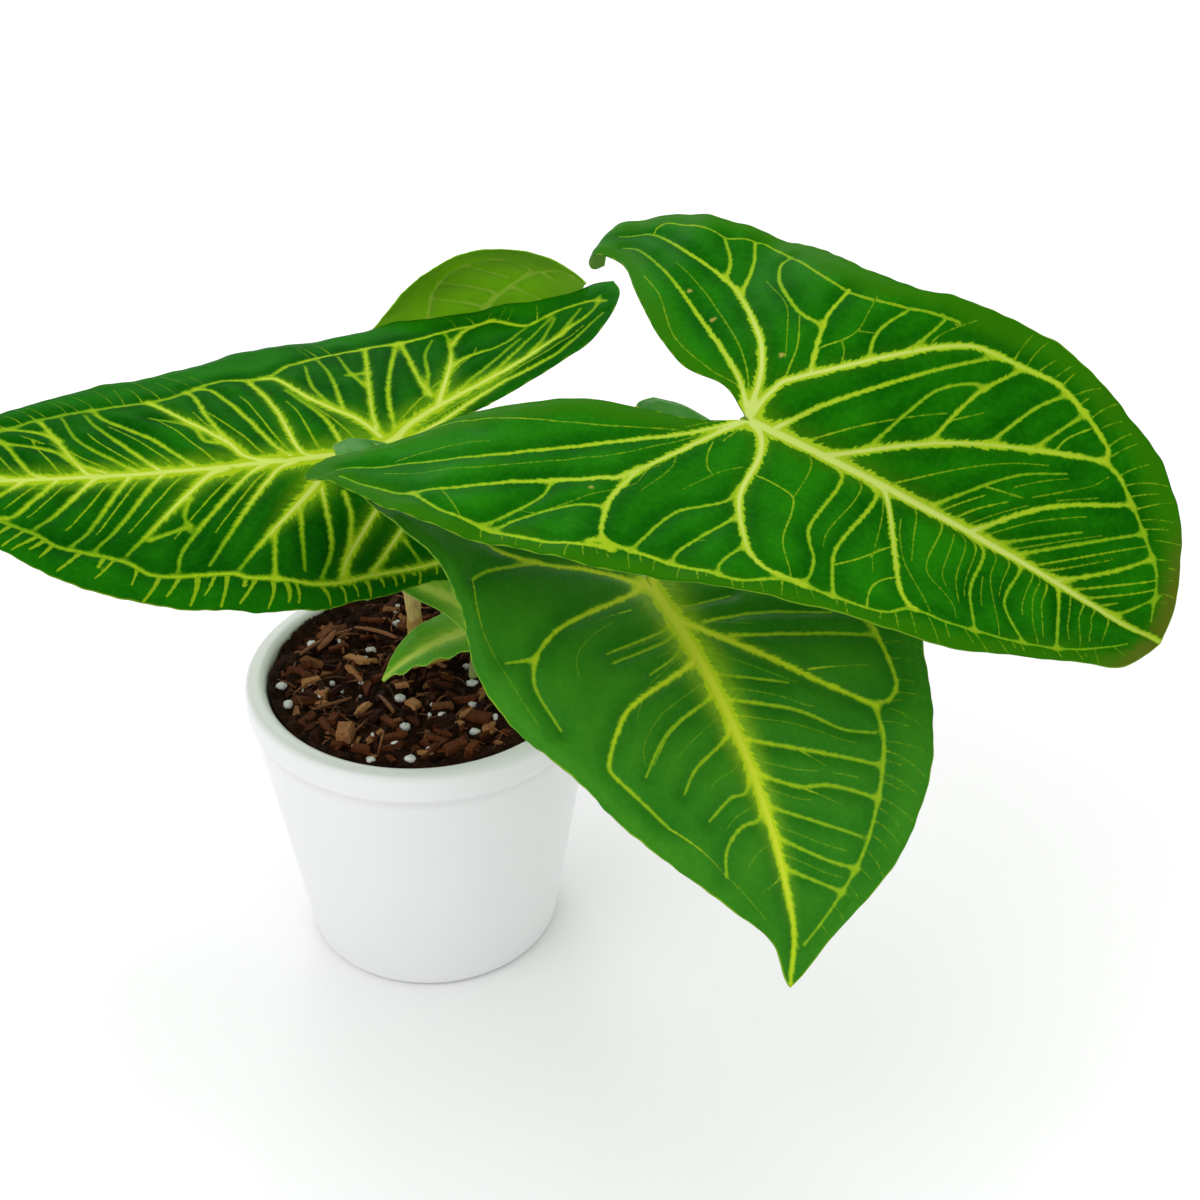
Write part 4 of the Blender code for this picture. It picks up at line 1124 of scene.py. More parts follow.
def vertex_normals(points, faces):
    """The direction out of the surface at each point: the sum of its faces' normals, made one long."""
    a, b, c = points[faces].transpose(1, 0, 2)
    across = np.cross(b - a, c - a)
    normals = np.stack([
        np.bincount(faces.reshape(-1), np.repeat(across[:, axis], 3), len(points)) for axis in range(3)
    ], 1)
    return normals / np.linalg.norm(normals, axis=1)[:, None]


def border_wall(faces, count):
    """Triangles between the border of a surface and the same border in a copy numbered count higher."""
    ends = np.concatenate([faces[:, [0, 1]], faces[:, [1, 2]], faces[:, [2, 0]]])
    key = ends[:, 0] * count + ends[:, 1]
    start, end = ends[~np.isin(key, ends[:, 1] * count + ends[:, 0])].T
    return np.concatenate([
        np.stack([end, start, start + count], 1),
        np.stack([end, start + count, end + count], 1),
    ])


# %% Half a blade with its veins
MAIN_REACH, FINE_REACH, FINE_FLARE, OTHER_SIDE = 12.0, 2.5, 0.8, 400


def half_blade(name, leaf, side, rows, columns, midrib, main_from, broad, flare):
    """Half a blade, side 1 to the left and -1 to the right: its bent points, and six vectors for each of
    them, which are the way to the nearest main vein, what that vein is, its soft distance and bloom, the
    same two for the nearest fine vein, and the place in the leaf with the distance to the border."""
    length = leaf["length"] * 1000
    half_name = "left" if side > 0 else "right"
    shape = leaf[half_name]
    flat = flat_half(shape, rows, columns)
    spots = flat.reshape(-1, 2) * length
    traced = VEINS.get((name, half_name))
    if traced:
        veins = read_veins(traced, length)
    else:
        veins = side_veins(length, *leaf["rule"], seed=11 + side)
    inner_and_outer = np.array([0.0, 1.0])
    margin = flat_half(shape, np.linspace(0, 1, 300), inner_and_outer)[:, 1] * length
    notch = flat_half(shape, np.linspace(0, JUNCTION_SHARE, 90), inner_and_outer)[:, 0] * length
    border = np.vstack([margin, notch])
    edge = np.concatenate([
        np.sqrt(((part[:, None] - border[None]) ** 2).sum(-1)).min(1) for part in np.array_split(spots, 12)
    ])
    spine = (*midrib, np.stack([np.linspace(0, length, 60), np.zeros(60)], 1), False)
    veins = thin_ends([spine, *veins])[1:]
    main = [(start * broad, end * broad, *line) for start, end, *line in veins if start >= main_from]
    main = [spine, *main]
    fine = [vein for vein in veins if vein[0] < main_from]
    if "halfway" in leaf:
        fine += halfway(veins, leaf["halfway"], 41 + side)
    if half_name in leaf.get("twigs", {}):
        fine += ladder(veins, margin, *leaf["twigs"][half_name], 21 + side)
    fine = kept_apart(fine, FINE_ROOM)
    print(f"  {name} {half_name}: {len(main)} main veins, {len(fine)} fine ones")
    way, about, soft = nearest_vein(main, spots, MAIN_REACH, flare)
    fine_way, fine_about, _ = nearest_vein(fine, spots, FINE_REACH, FINE_FLARE)
    numbered = (0, 0, OTHER_SIDE * (side < 0))
    place = np.column_stack([spots[:, 0], spots[:, 1] * side, edge])
    points = bent_half(leaf, side, flat).reshape(-1, 3)
    return points, way, about + numbered, soft, fine_way, fine_about + numbered, place


# %% Blade
BLADE_SINK, THIN, NARROWEST = 0.25, 0.25, 0.3
QUILT, QUILT_WIDTH, RELIEF = 0.8, 2.2, 0.10
WIDEST_RIB, RIB_SHARE = 2.6, 0.62


def make_blade(name, leaf, rows_behind, rows_ahead, columns_out, midrib, main_from=0.8, broad=1.0,
               flare=0.6):
    """The mesh of one blade with its pattern numbers. midrib gives the midrib's widths at its two ends,
    broad is a factor on the other main veins' widths, and flare widens each where it leaves its parent.
    With the distance a to the veins, the surface rises by quilt times a^2 / (a^2 + QUILT_WIDTH^2), in
    millimetres, and under a vein of width w the ridge is RIB_SHARE times w times
    exp(-(distance / (0.6 w + 0.3))^2)."""
    rows = np.concatenate([
        np.linspace(0, JUNCTION_SHARE, rows_behind)[:-1],
        np.linspace(JUNCTION_SHARE, 1, rows_ahead),
    ])
    columns = np.linspace(0, 1, columns_out) ** 1.08
    veining = (midrib, main_from, broad, flare)
    halves = [half_blade(name, leaf, side, rows, columns, *veining) for side in (1, -1)]
    points = np.vstack([parts[0] for parts in halves])
    quads = [grid_quads(len(rows), len(columns), flip=side > 0) for side in (1, -1)]
    faces = np.vstack([quads[0], quads[1] + len(rows) * len(columns)])
    faces = np.vstack([faces[:, [0, 1, 2]], faces[:, [0, 2, 3]]])
    first, faces = welded(points, faces)
    joined = (np.vstack(parts)[first] for parts in zip(*halves))
    points, way, about, soft, fine_way, fine_about, place = joined
    points = points @ leaf_frame(leaf).T + np.array(leaf["junction"])
    normals = vertex_normals(points, faces)
    distance, width = way[:, 2], about[:, 1]
    away = np.maximum(soft[:, 0], 0) + NARROWEST
    lift = leaf.get("quilt", QUILT) * away**2 / (away**2 + QUILT_WIDTH**2)
    lift *= np.clip(place[:, 2] / 3, 0.25, 1)
    lift += leaf.get("relief", RELIEF) * soft_noise(place[:, :2], 9.0, 5)
    rib = np.minimum(width, WIDEST_RIB)
    ridge = RIB_SHARE * rib * np.exp(-((distance / (0.6 * rib + 0.3)) ** 2))
    ridge = np.where(distance < 0.9 * FAR, ridge, 0)
    top = points + normals * ((lift - BLADE_SINK) / 1000)[:, None]
    thickness = THIN + np.maximum(0.5 * lift, 0) + ridge
    under = top - normals * (thickness / 1000)[:, None]
    painted = dict(vein=way, vein_run=about, vein_soft=soft, thread=fine_way, thread_run=fine_about,
                   leaf_place=place)
    numbers = {key: np.vstack([values, values]) for key, values in painted.items()}
    numbers["leaf_face"] = np.zeros((2 * len(points), 3))
    numbers["leaf_face"][len(points):, 0] = 1
    triangles = np.vstack([faces, faces[:, ::-1] + len(points), border_wall(faces, len(points))])
    return new_mesh("leaf_" + name, np.vstack([top, under]), triangles, numbers)


# %% [markdown]
# ## The leaf's finish
# A leaf of this plant is a deep green with veins the colour of limes. The veins aren't clean lines: short
# barbs leave them every millimetre or so and lean towards the tip, the green next to them is lighter, and
# the thickest carry a pale thread in the middle. The pattern is worked out from the numbers in the mesh,
# so it stays on the leaf from every side.

# %% Vein patterns
def vein_pattern(f, barb):
    """How far inside a main vein a point is, in millimetres and with barbs added, then the way to the vein's
    middle, its width, the barbs' noise and the bloom. The noise is read at (run less 0.9 times the way, and
    the vector to the vein), so its grain leans towards the tip, and each vein's number shifts it."""
    to_x, to_y, gap = f.split(f.read("vein"))
    run, width, number = f.split(f.read("vein_run"))
    blended, spread, _ = f.split(f.read("vein_soft"))
    way = f.larger(f.length(to_x, to_y), f.between_lines(gap))
    crisp = f.less(f.times(width, 0.5), way)
    lean = f.join(
        f.less(run, f.times(way, 0.9)),
        f.times(to_x, 0.35),
        f.add(f.times(to_y, 0.35), f.times(number, 7.3)),
    )
    barbs = f.ramp(f.noise(lean, 0.75, 3, 0.62), 0.34, 0.72, -0.35, 1.0)
    long = f.times(f.smaller(f.add(f.times(width, 0.17), 0.10), 0.7), barb)
    inside = f.add(f.times(barbs, long), f.larger(crisp, f.times(blended, -1.0)))
    return inside, way, width, barbs, spread


def thread_pattern(f, faintest):
    """The fine veins, 0 beside them and up to 1 on them: half the width less the way, with an edge that
    wanders by a tenth of a millimetre. The thinnest ones are only as strong as faintest."""
    to_x, to_y, gap = f.split(f.read("thread"))
    run, width, number = f.split(f.read("thread_run"))
    way = f.larger(f.length(to_x, to_y), f.between_lines(gap))
    within = f.less(f.times(width, 0.5), way)
    lean = f.join(run, f.times(number, 5.1), f.times(way, 0.5))
    rough = f.ramp(f.noise(lean, 0.9, 2, 0.6), 0.3, 0.7, -0.10, 0.12)
    line = f.ramp(f.add(within, rough), -0.14, 0.12)
    return f.times(line, f.ramp(width, 0.28, 0.42, faintest, 0.95))


# %% Dry rim and spots
DRY_RIM, DRY_SPECK = (0.085, 0.105, 0.008), (0.33, 0.29, 0.05)


def dried(f, colour, x, y, border, grain, browned, specks):
    """The colour with a brownish rim from browned millimetres along the leaf on, and with small dry spots at
    the specks' x, y and radius. The grain makes both ragged."""
    if browned:
        brown = f.ramp(f.add(border, f.ramp(grain, 0.3, 0.7, -1.2, 1.2)), 0.8, 7.0, 0.85, 0.0)
        brown = f.times(brown, f.ramp(x, browned, browned + 14))
        colour = f.blend(brown, colour, DRY_RIM)
    for speck_x, speck_y, radius in specks:
        off = f.length(f.less(x, speck_x), f.less(y, speck_y))
        off = f.add(off, f.ramp(grain, 0.3, 0.7, -0.3, 0.3))
        colour = f.blend(f.ramp(off, radius * 0.5, radius * 1.3, 0.8, 0.0), colour, DRY_SPECK)
    return colour


# %% Leaf finish
LEAF_SHEEN = (0.50, 1.0, 0.42)


def mixed(first, second, share):
    """A colour between two: share of the first and the rest of the second."""
    return tuple(share * a + (1 - share) * b for a, b in zip(first, second))


def leaf_finish(name, deep, lush, tint, core, below, rim_green=None, thread=0.4, barb=1.0, bloom=0.5,
                core_share=0.30, edge_soft=0.45, browned=None, specks=(), gloss=0.05):
    """Green between deep and lush, a lighter rim_green outside the rings, veins of tint with a pale core,
    fine veins and a paler lower face. bloom is how strongly the widest veins' colour spreads into the
    green, and lime is the colour there, tint and lush mixed by their square roots."""
    f = Finish(name, 0.42, gloss)
    f.set("Specular Tint", LEAF_SHEEN)
    inside, way, width, barbs, spread = vein_pattern(f, barb)
    line = thread_pattern(f, thread)
    x, y, border = f.split(f.read("leaf_place"))
    flat = f.join(x, y, 0.0)
    cloud = f.noise(flat, 0.05, 2)
    grain = f.noise(flat, 0.6, 3, 0.6)

    shade = f.add(f.ramp(cloud, 0.3, 0.7, 0.0, 0.45), f.ramp(grain, 0.3, 0.75, -0.12, 0.20))
    shade = f.add(shade, f.ramp(inside, -6.0, -1.0, 0.45, 0.0))
    green = f.blend(f.smaller(f.larger(shade, 0.0), 1.0), deep, lush)
    if rim_green:
        rim = f.ramp(f.add(border, f.ramp(cloud, 0.3, 0.7, -2.0, 2.0)), 2.0, 9.0, 0.75, 0.0)
        green = f.blend(rim, green, rim_green)
    lime = tuple((0.55 * t**0.5 + 0.45 * g**0.5) ** 2 for t, g in zip(tint, lush))
    glow = f.times(f.times(spread, bloom), f.ramp(barbs, -0.3, 1.0, 0.75, 1.15))
    colour = f.blend(f.smaller(glow, 1.0), green, lime)
    colour = dried(f, colour, x, y, border, grain, browned, specks)

    fine_tint = mixed(tint, lush, 0.60)
    vein = f.ramp(inside, -0.10, edge_soft)
    colour = f.blend(line, colour, fine_tint)
    colour = f.blend(f.ramp(inside, -edge_soft, 0.12), colour, lime)
    colour = f.blend(vein, colour, f.blend(f.ramp(width, 0.3, 1.1), fine_tint, tint))
    reach = f.larger(f.times(width, core_share), 0.2)
    middle = f.ramp(f.sum("DIVIDE", way, reach), 0.45, 1.15, 1.0, 0.0)
    colour = f.blend(f.times(middle, f.ramp(width, 0.9, 2.2, 0.0, 0.95)), colour, core)
    colour = f.blend(f.ramp(border, 0.15, 0.40, 0.7, 0.0), colour, fine_tint)

    face = f.split(f.read("leaf_face"))[0]
    lower = f.blend(f.ramp(cloud, 0.3, 0.7), below, tuple(v * 1.25 for v in below))
    lower = f.blend(f.times(vein, 0.75), lower, mixed(tint, below, 0.5))
    f.set("Base Color", f.blend(f.ramp(face, 0.45, 0.55), colour, lower))
    f.set("Roughness", f.add(f.ramp(grain, 0.25, 0.75, 0.32, 0.46), f.ramp(face, 0.4, 0.6, 0.0, 0.15)))
    skin = f.noise(flat, 2.4, 2, 0.6)
    f.bump(f.add(f.times(skin, 0.3), f.times(f.larger(line, vein), -0.5)), 0.00018, 0.4)
    return f.material


# %% [markdown]
# ## The leaves
# All leaves share one kind of finish, and each has its own greens. The left one has the darkest green and
# the broadest veins. The right one has a lighter rim outside its ring veins, a few dry spots and a brownish
# end. The front one has a soft glow along its midrib, and its greens are lighter, partly its own colour and
# partly painted light where the front light falls on it. The back one is paler, partly because it shows its
# lower face and partly by painted light shining through it. The young ones are light green with a broad pale
# middle. A large blade's grid has rows 0.7 to 0.8 mm apart along its midrib, which is fine enough for the
# ridges under the veins.

# %% Right leaf
CHARTREUSE, PALE_CORE, UNDERSIDE = (0.295, 0.440, 0.012), (0.475, 0.575, 0.130), (0.10, 0.24, 0.03)
LEAVES["right"].update(halfway=0.36, twigs=dict(left=(3.2, 0.34, 50), right=(4.2, 0.36, -40)))
right_skin = leaf_finish(
    "leaf_green_deep", (0.0026, 0.076, 0.0006), (0.013, 0.162, 0.0014), CHARTREUSE, PALE_CORE, UNDERSIDE,
    rim_green=(0.025, 0.132, 0.0008), thread=0.6, barb=1.15, bloom=0.2, edge_soft=0.36, browned=102,
    specks=((-1.2, 21, 0.9), (-24, 28, 0.8), (-35, 36, 0.7), (-23, -44, 0.8)), gloss=0.012,
)
right_blade = make_blade("right", LEAVES["right"], 110, 176, 72, (4.4, 1.3), 0.6, broad=1.05, flare=0.8)
add_piece("leaf_right", right_blade, right_skin, "blade", "blade_right")

# %% Left leaf
LEAVES["left"].update(halfway=0.7, twigs=dict(left=(3.8, 1.4, -60), right=(4.4, 0.40, -60)))
left_skin = leaf_finish(
    "leaf_green_bright", (0.0018, 0.058, 0.0008), (0.009, 0.130, 0.0015), (0.290, 0.430, 0.008),
    (0.470, 0.580, 0.100), UNDERSIDE, barb=1.2, bloom=0.8, core_share=0.24, edge_soft=0.6, gloss=0.005,
)
left_blade = make_blade("left", LEAVES["left"], 104, 176, 72, (5.0, 2.8), 0.5, broad=1.65, flare=1.2)
add_piece("leaf_left", left_blade, left_skin, "blade", "blade_left")

# %% Front leaf
LEAVES["front"].update(halfway=0.30, quilt=1.35, twigs=dict(left=(2.8, 0.28, -60)))
# Painted light: these greens are lighter than the other leaves', partly the leaf's own colour and partly
# painted light for the front light that falls on it.
front_skin = leaf_finish(
    "leaf_green_soft_painted_light", (0.017, 0.140, 0.006), (0.038, 0.205, 0.009), (0.41, 0.57, 0.012),
    (0.55, 0.65, 0.035), UNDERSIDE, thread=0.3, barb=1.2, bloom=1.0, edge_soft=0.5, gloss=0.08,
)
front_blade = make_blade("front", LEAVES["front"], 104, 170, 72, (5.6, 0.8), 0.6, broad=0.78, flare=1.8)
add_piece("leaf_front", front_blade, front_skin, "blade", "blade_front")

# %% Back leaf
LEAVES["back"].update(rule=(5, 0.25, 0.5, 1.0))
# Painted light: the back leaf's greens and its lower face are set lighter, partly as its own paler lower
# face and partly as painted light shining through the blade.
back_skin = leaf_finish(
    "leaf_green_pale_painted_backlight", (0.075, 0.26, 0.002), (0.155, 0.385, 0.005), (0.40, 0.56, 0.07), (0.50, 0.62, 0.14),
    (0.115, 0.31, 0.003), bloom=0.3,
)
back_blade = make_blade("back", LEAVES["back"], 60, 110, 56, (2.2, 0.9))
add_piece("leaf_back", back_blade, back_skin, "blade_back", "blade_back")

# %% Young leaves
young_skin = leaf_finish(
    "leaf_green_young", (0.060, 0.29, 0.010), (0.14, 0.44, 0.025), (0.50, 0.67, 0.09), (0.62, 0.74, 0.13),
    (0.16, 0.38, 0.06), barb=1.6, bloom=1.0, core_share=0.42, edge_soft=0.8,
)
for young in ("young_low", "young_high"):
    LEAVES[young].update(rule=(3, 0.5, 0.34, 0.28), quilt=0.25, relief=0.05)
    young_blade = make_blade(young, LEAVES[young], 44, 84, 40, (6.0, 1.0), 0.3, flare=0.3)
    add_piece("leaf_" + young, young_blade, young_skin, "blade_young", "blade_" + young)

# %% [markdown]
# ## The stalks
# A stalk is a smooth round rod, a little thicker where it leaves the soil, that bends over to meet its
# blade from below. Its path is a Bezier curve: it starts straight up and arrives square to the blade. A
# curve object with a bevel would make such a rod too, but a ring carried along the path lets the radius,
# the low ribs and the numbers for the finish follow the run from the soil. The soil's level, the holes'
# depth and the blades' thickness are the solids' own, so each stalk ends where the solid one does.

# %% Stalk maker
SOIL_LEVEL, HOLE_DEPTH = 0.0915, 0.018
GAP, BLADE_THICKNESS, RIB_DEPTH = 0.0003, 0.0008, 0.0011
STALK_STEPS, STALK_SIDES = 72, 28


def stalk_path(leaf):
    """The middle line of a stalk, how far each point is from the soil's surface along it, and the way on.
    The line is (1 - t)^3 surface + 3 (1 - t)^2 t rise + 3 (1 - t) t^2 arrive + t^3 head, between a foot in
    the stalk's hole and an end inside the blade's rib."""
    foot = np.array([*leaf["foot"], SOIL_LEVEL - HOLE_DEPTH + GAP])
    surface = np.array([*leaf["foot"], SOIL_LEVEL + 0.001])
    out = leaf_frame(leaf)[:, 2]
    rib = RIB_DEPTH * (1 if leaf["length"] > 0.1 else 0.4)
    head = np.array(leaf["junction"]) - out * (BLADE_THICKNESS + rib + GAP + leaf.get("seat", 0))
    reach = np.linalg.norm(head - surface)
    t = np.linspace(0, 1, STALK_STEPS)[:, None]
    rise = surface + np.array([0, 0, leaf["stalk_bend"][0] * reach])
    arrive = head - out * leaf["stalk_bend"][1] * reach
    curve = (1 - t) ** 3 * surface + 3 * (1 - t) ** 2 * t * rise + 3 * (1 - t) * t**2 * arrive + t**3 * head
    head_in = head + out * (rib + BLADE_THICKNESS) * 0.7
    path = np.vstack([foot, curve, head_in])
    size = run_along(curve)
    ahead = np.gradient(path, axis=0)
    ahead[0], ahead[-1] = (0, 0, 1), out
    return path, np.concatenate([[0], size, [size[-1] + 0.001]]), ahead


def tube(path, ahead, radius, sides, flat=1.0):
    """A closed tube: each ring is the path's point plus radius times the cosine and sine of the turn, in the
    two directions across the path, with a fan at each end. flat squeezes it across the second one."""
    ahead = ahead / np.linalg.norm(ahead, axis=1)[:, None]
    first = np.array([1.0, 0, 0]) - ahead * ahead[:, :1]
    first /= np.linalg.norm(first, axis=1)[:, None]
    second = np.cross(ahead, first)
    turn = np.arange(sides) * 2 * np.pi / sides
    rings = path[:, None] + radius.reshape(len(path), -1, 1) * (
        first[:, None] * np.cos(turn)[None, :, None] + flat * second[:, None] * np.sin(turn)[None, :, None]
    )
    points = np.vstack([rings.reshape(-1, 3), rings[0].mean(0), rings[-1].mean(0)])
    return points, capped_faces(len(path), sides)


def stalk_radius(leaf, run):
    """A stalk's radius at a run from the soil, in metres: thicker at its foot, by exp(-run / 18 mm)."""
    return leaf["stalk_radius"] * (0.88 + 0.42 * np.exp(-run / 0.018))


def make_stalk(name, leaf):
    """The mesh of one stalk, with its run from the soil in millimetres and the turn round it for each point.
    Seven low ribs run along it, and it swells by a fifth where it meets the blade."""
    path, run, ahead = stalk_path(leaf)
    turn = np.arange(STALK_SIDES) * 2 * np.pi / STALK_SIDES
    ribs = 1 + 0.03 * np.sin(7 * turn + 2.0)[None] + 0.012 * np.sin(run / 0.004)[:, None]
    swell = 1 + 0.22 * np.exp(-((run - run[-1]) / 0.004) ** 2)
    points, faces = tube(path, ahead, (stalk_radius(leaf, run) * swell)[:, None] * ribs, STALK_SIDES)
    along = np.concatenate([np.repeat(run, STALK_SIDES), [0, run[-1]]]) * 1000
    across = np.concatenate([np.tile(turn, len(path)), [0, 0]])
    stalk_run = np.column_stack([along, across, 0 * along])
    return new_mesh("stalk_" + name, points, faces, {"stalk_run": stalk_run})


# %% [markdown]
# ## The stalk's finish
# Stalks are pale green with fine darker lines along them, a yellower foot, and a little dust of brown
# specks. The oldest one, the left leaf's, has turned straw-coloured near the soil. The lines are too fine
# to be shaped, so a noise drawn out along the stalk gives both their colour and a slight bump.

# %% Stalk finish
STALK_SPECK = (0.16, 0.09, 0.03)


def stalk_finish(name, body, foot, foot_reach, line):
    """body colour with fine lines along the stalk, turning into foot below foot_reach millimetres. The lines
    are a noise read at (a slow run, sine of the turn, cosine of the turn), so they close round the stalk."""
    f = Finish(name, 0.42, 0.3)
    run, turn, _ = f.split(f.read("stalk_run"))
    round_stalk = f.join(f.times(run, 0.04), f.sum("SINE", turn), f.sum("COSINE", turn))
    lines = f.noise(round_stalk, 5.0, 3, 0.6)
    place = f.place()
    cloud = f.noise(place, 90, 3)
    colour = f.blend(f.ramp(lines, 0.35, 0.7), body, line)
    edge = f.add(run, f.ramp(cloud, 0.3, 0.7, -6.0, 6.0))
    colour = f.blend(f.ramp(edge, foot_reach * 0.6, foot_reach * 1.3, 1.0, 0.0), colour, foot)
    specks = f.ramp(f.noise(place, 900, 1), 0.70, 0.76, 0.0, 0.5)
    f.set("Base Color", f.blend(specks, colour, STALK_SPECK))
    f.set("Roughness", f.ramp(cloud, 0.3, 0.7, 0.36, 0.52))
    f.bump(lines, 0.0002, 0.5)
    return f.material


green_stalk = stalk_finish("stalk_green", (0.20, 0.34, 0.055), (0.34, 0.40, 0.14), 9.0, (0.12, 0.24, 0.03))
straw_stalk = stalk_finish("stalk_straw", (0.24, 0.36, 0.07), (0.62, 0.47, 0.22), 42.0, (0.16, 0.27, 0.04))
for name, leaf in LEAVES.items():
    skin = straw_stalk if name == "left" else green_stalk
    add_piece("stalk_fine_" + name, make_stalk(name, leaf), skin, "stalk", "stalk_" + name)

# %% [markdown]
# ## The dry sheath
# Where a stalk leaves the soil, the base of an older one wraps it like a split sleeve of thin, papery
# skin. It is a sheet carried up the stalk's path: each row is an arc of 250 degrees round the stalk, which
# opens towards its ragged upper edge. Solidify gives it a real thickness.

# %% Sheath
SHEATH_ROWS, SHEATH_COLUMNS = 26, 34
SHEATH_ROOM, SHEATH_FLARE, SHEATH_CREASE, SHEATH_THICKNESS = 0.00030, 0.0011, 0.00022, 0.00025


def make_sheath(leaf, name, opening, top, seed):
    """A sleeve round a stalk, between the two angles of opening and as high as top. Its radius is the
    stalk's plus SHEATH_ROOM, plus SHEATH_FLARE times the squared share of the height, with soft creases."""
    path, run, _ = stalk_path(leaf)
    path, run = path[1:-1], run[1:-1]
    u = np.linspace(0, 1, SHEATH_COLUMNS)
    ragged = top * (0.72 + 0.28 * np.sin(np.pi * u) ** 0.6 + 0.05 * soft_noise(u[:, None] * 30, 6, seed))
    height = np.linspace(0, 1, SHEATH_ROWS)[:, None] * ragged[None]
    middle = np.stack([np.interp(height, run, path[:, axis]) for axis in range(3)], -1)
    turn = np.radians(opening[0] + (opening[1] - opening[0]) * u)[None] * np.ones((SHEATH_ROWS, 1))
    radius = stalk_radius(leaf, height) + SHEATH_ROOM + SHEATH_FLARE * (height / top) ** 2
    radius = radius + SHEATH_CREASE * soft_noise(np.stack([height * 1000, turn * 2], -1), 5, seed + 1)
    points = middle + radius[..., None] * np.stack([np.cos(turn), np.sin(turn), 0 * turn], -1)
    stalk_run = np.stack([height * 1000, turn, 0 * turn], -1)
    return new_mesh(name, points.reshape(-1, 3), grid_quads(SHEATH_ROWS, SHEATH_COLUMNS, flip=True),
                    {"stalk_run": stalk_run.reshape(-1, 3)})


SHEATHS = [  # leaf, opening in degrees, height in metres, seed
    ("left", (95, 345), 0.034, 3), ("right", (-60, 190), 0.024, 5), ("front", (150, 400), 0.020, 8),
]
sheath_skin = stalk_finish("sheath_papery", (0.76, 0.60, 0.20), (0.56, 0.36, 0.10), 7.0, (0.58, 0.44, 0.15))
for name, opening, top, seed in SHEATHS:
    mesh = make_sheath(LEAVES[name], "sheath_" + name, opening, top, seed)
    sheath = add_piece("sheath_" + name, mesh, sheath_skin, "stalk")
    wall = sheath.modifiers.new("Wall", "SOLIDIFY")
    wall.thickness = SHEATH_THICKNESS
    wall.offset = 1

# %% [markdown]
# ## The soil
# Potting mix is a dark crumb of bark and fibre. Thousands of loose crumbs would cost too many faces, so its
# surface is a fine polar grid, a sum of noises of falling size, with a low bank against the pot's wall and
# round each stalk. It also fills the pot to the floor, as the solid does. Bark, grains and fibres lie on it
# as pieces of their own.

# %% Soil surface
def soil_height(x, y):
    """The soil's broad waves, the same as in the solid, in metres."""
    swell = np.sin(310 * x + 1.1) * np.sin(270 * y + 0.4) + 0.6 * np.sin(640 * x - 480 * y)
    ripple = 0.5 * np.sin(1100 * x + 700 * y + 2.0) * np.sin(900 * y - 500 * x)
    return SOIL_LEVEL + 0.0009 * (swell + ripple)


def crumb(x, y):
    """The fine relief of the crumb: noises of 6.5, 2.8, 1.3 and 0.7 mm, the two middle ones folded at zero
    by their absolute value, which gives them sharp ridges."""
    at = np.stack([x, y], -1) * 1000
    relief = 0.45 * soft_noise(at, 6.5, 1) + 0.40 * (0.5 - abs(soft_noise(at, 2.8, 2)))
    relief = relief + 0.26 * (0.5 - abs(soft_noise(at, 1.3, 3, 22))) + 0.10 * soft_noise(at, 0.7, 4, 26)
    return relief / 1000


def make_soil(rings, sides):
    """A turned body whose top is the crumb: height = waves + crumb + a bank of 1.2 mm against the wall that
    falls as exp(-distance / 3.5 mm), and one of 1 mm round each stalk."""
    top = inner_radius(SOIL_LEVEL) - 0.0003
    radius = top * np.linspace(1, 0, rings)[:-1]
    low = FLOOR_THICKNESS + GAP
    wall = [
        (inner_radius(0.011) - 0.006, low), (inner_radius(0.013) - 0.0014, 0.0095),
        (inner_radius(0.03) - 0.0005, 0.03), (inner_radius(0.06) - 0.0005, 0.06),
    ]
    profile = [(0, low), *wall, *[(r, SOIL_LEVEL) for r in radius], (0, SOIL_LEVEL)]
    points, faces = turned(profile, sides)
    up = points[:, 2] > SOIL_LEVEL - 0.001
    x, y = points[up, 0], points[up, 1]
    bank = 0.0012 * np.exp(-(top - np.hypot(x, y)) / 0.0035)
    for leaf in LEAVES.values():
        off = np.hypot(x - leaf["foot"][0], y - leaf["foot"][1])
        bank = bank + 0.0010 * np.exp(-(off / 0.0045) ** 2)
    points[up, 2] = soil_height(x, y) + crumb(x, y) + bank
    return new_mesh("soil_fine", points, faces)


earth = Finish("dark_soil", 0.9, 0.1)
place = earth.place()
coarse = earth.noise(place, 260, 3, 0.6)
fine = earth.noise(place, 1300, 3, 0.7)
brown = earth.blend(earth.ramp(coarse, 0.35, 0.7), (0.005, 0.0018, 0.0008), (0.035, 0.011, 0.004))
brown = earth.blend(earth.ramp(fine, 0.5, 0.72, 0.0, 0.7), brown, (0.085, 0.028, 0.009))
earth.set("Base Color", brown)
earth.set("Roughness", earth.ramp(fine, 0.3, 0.7, 0.78, 0.97))
earth.bump(fine, 0.0006, 0.8)
add_piece("soil_fine", make_soil(150, 330), earth.material, "soil", "soil")

# %% [markdown]
# ## Bark, grains and fibres
# On the surface lie flat splinters of bark, from dark to tan, white grains of blown glass rock, and thin
# fibres. A particle system could strew them, but a loop with a seed keeps them clear of the stalks and
# gives the same bed each time. Each kind is one mesh made of many small closed forms. A bark chip is a
# rounded slab: a ring of points whose radius wanders, at four heights, with a fan above and below. Every
# form gets its own size, turn and tilt, and a tone that the finish reads. The larger ones, in the three
# lists of shown forms, lie about where the photograph shows them; the rest lie at random.

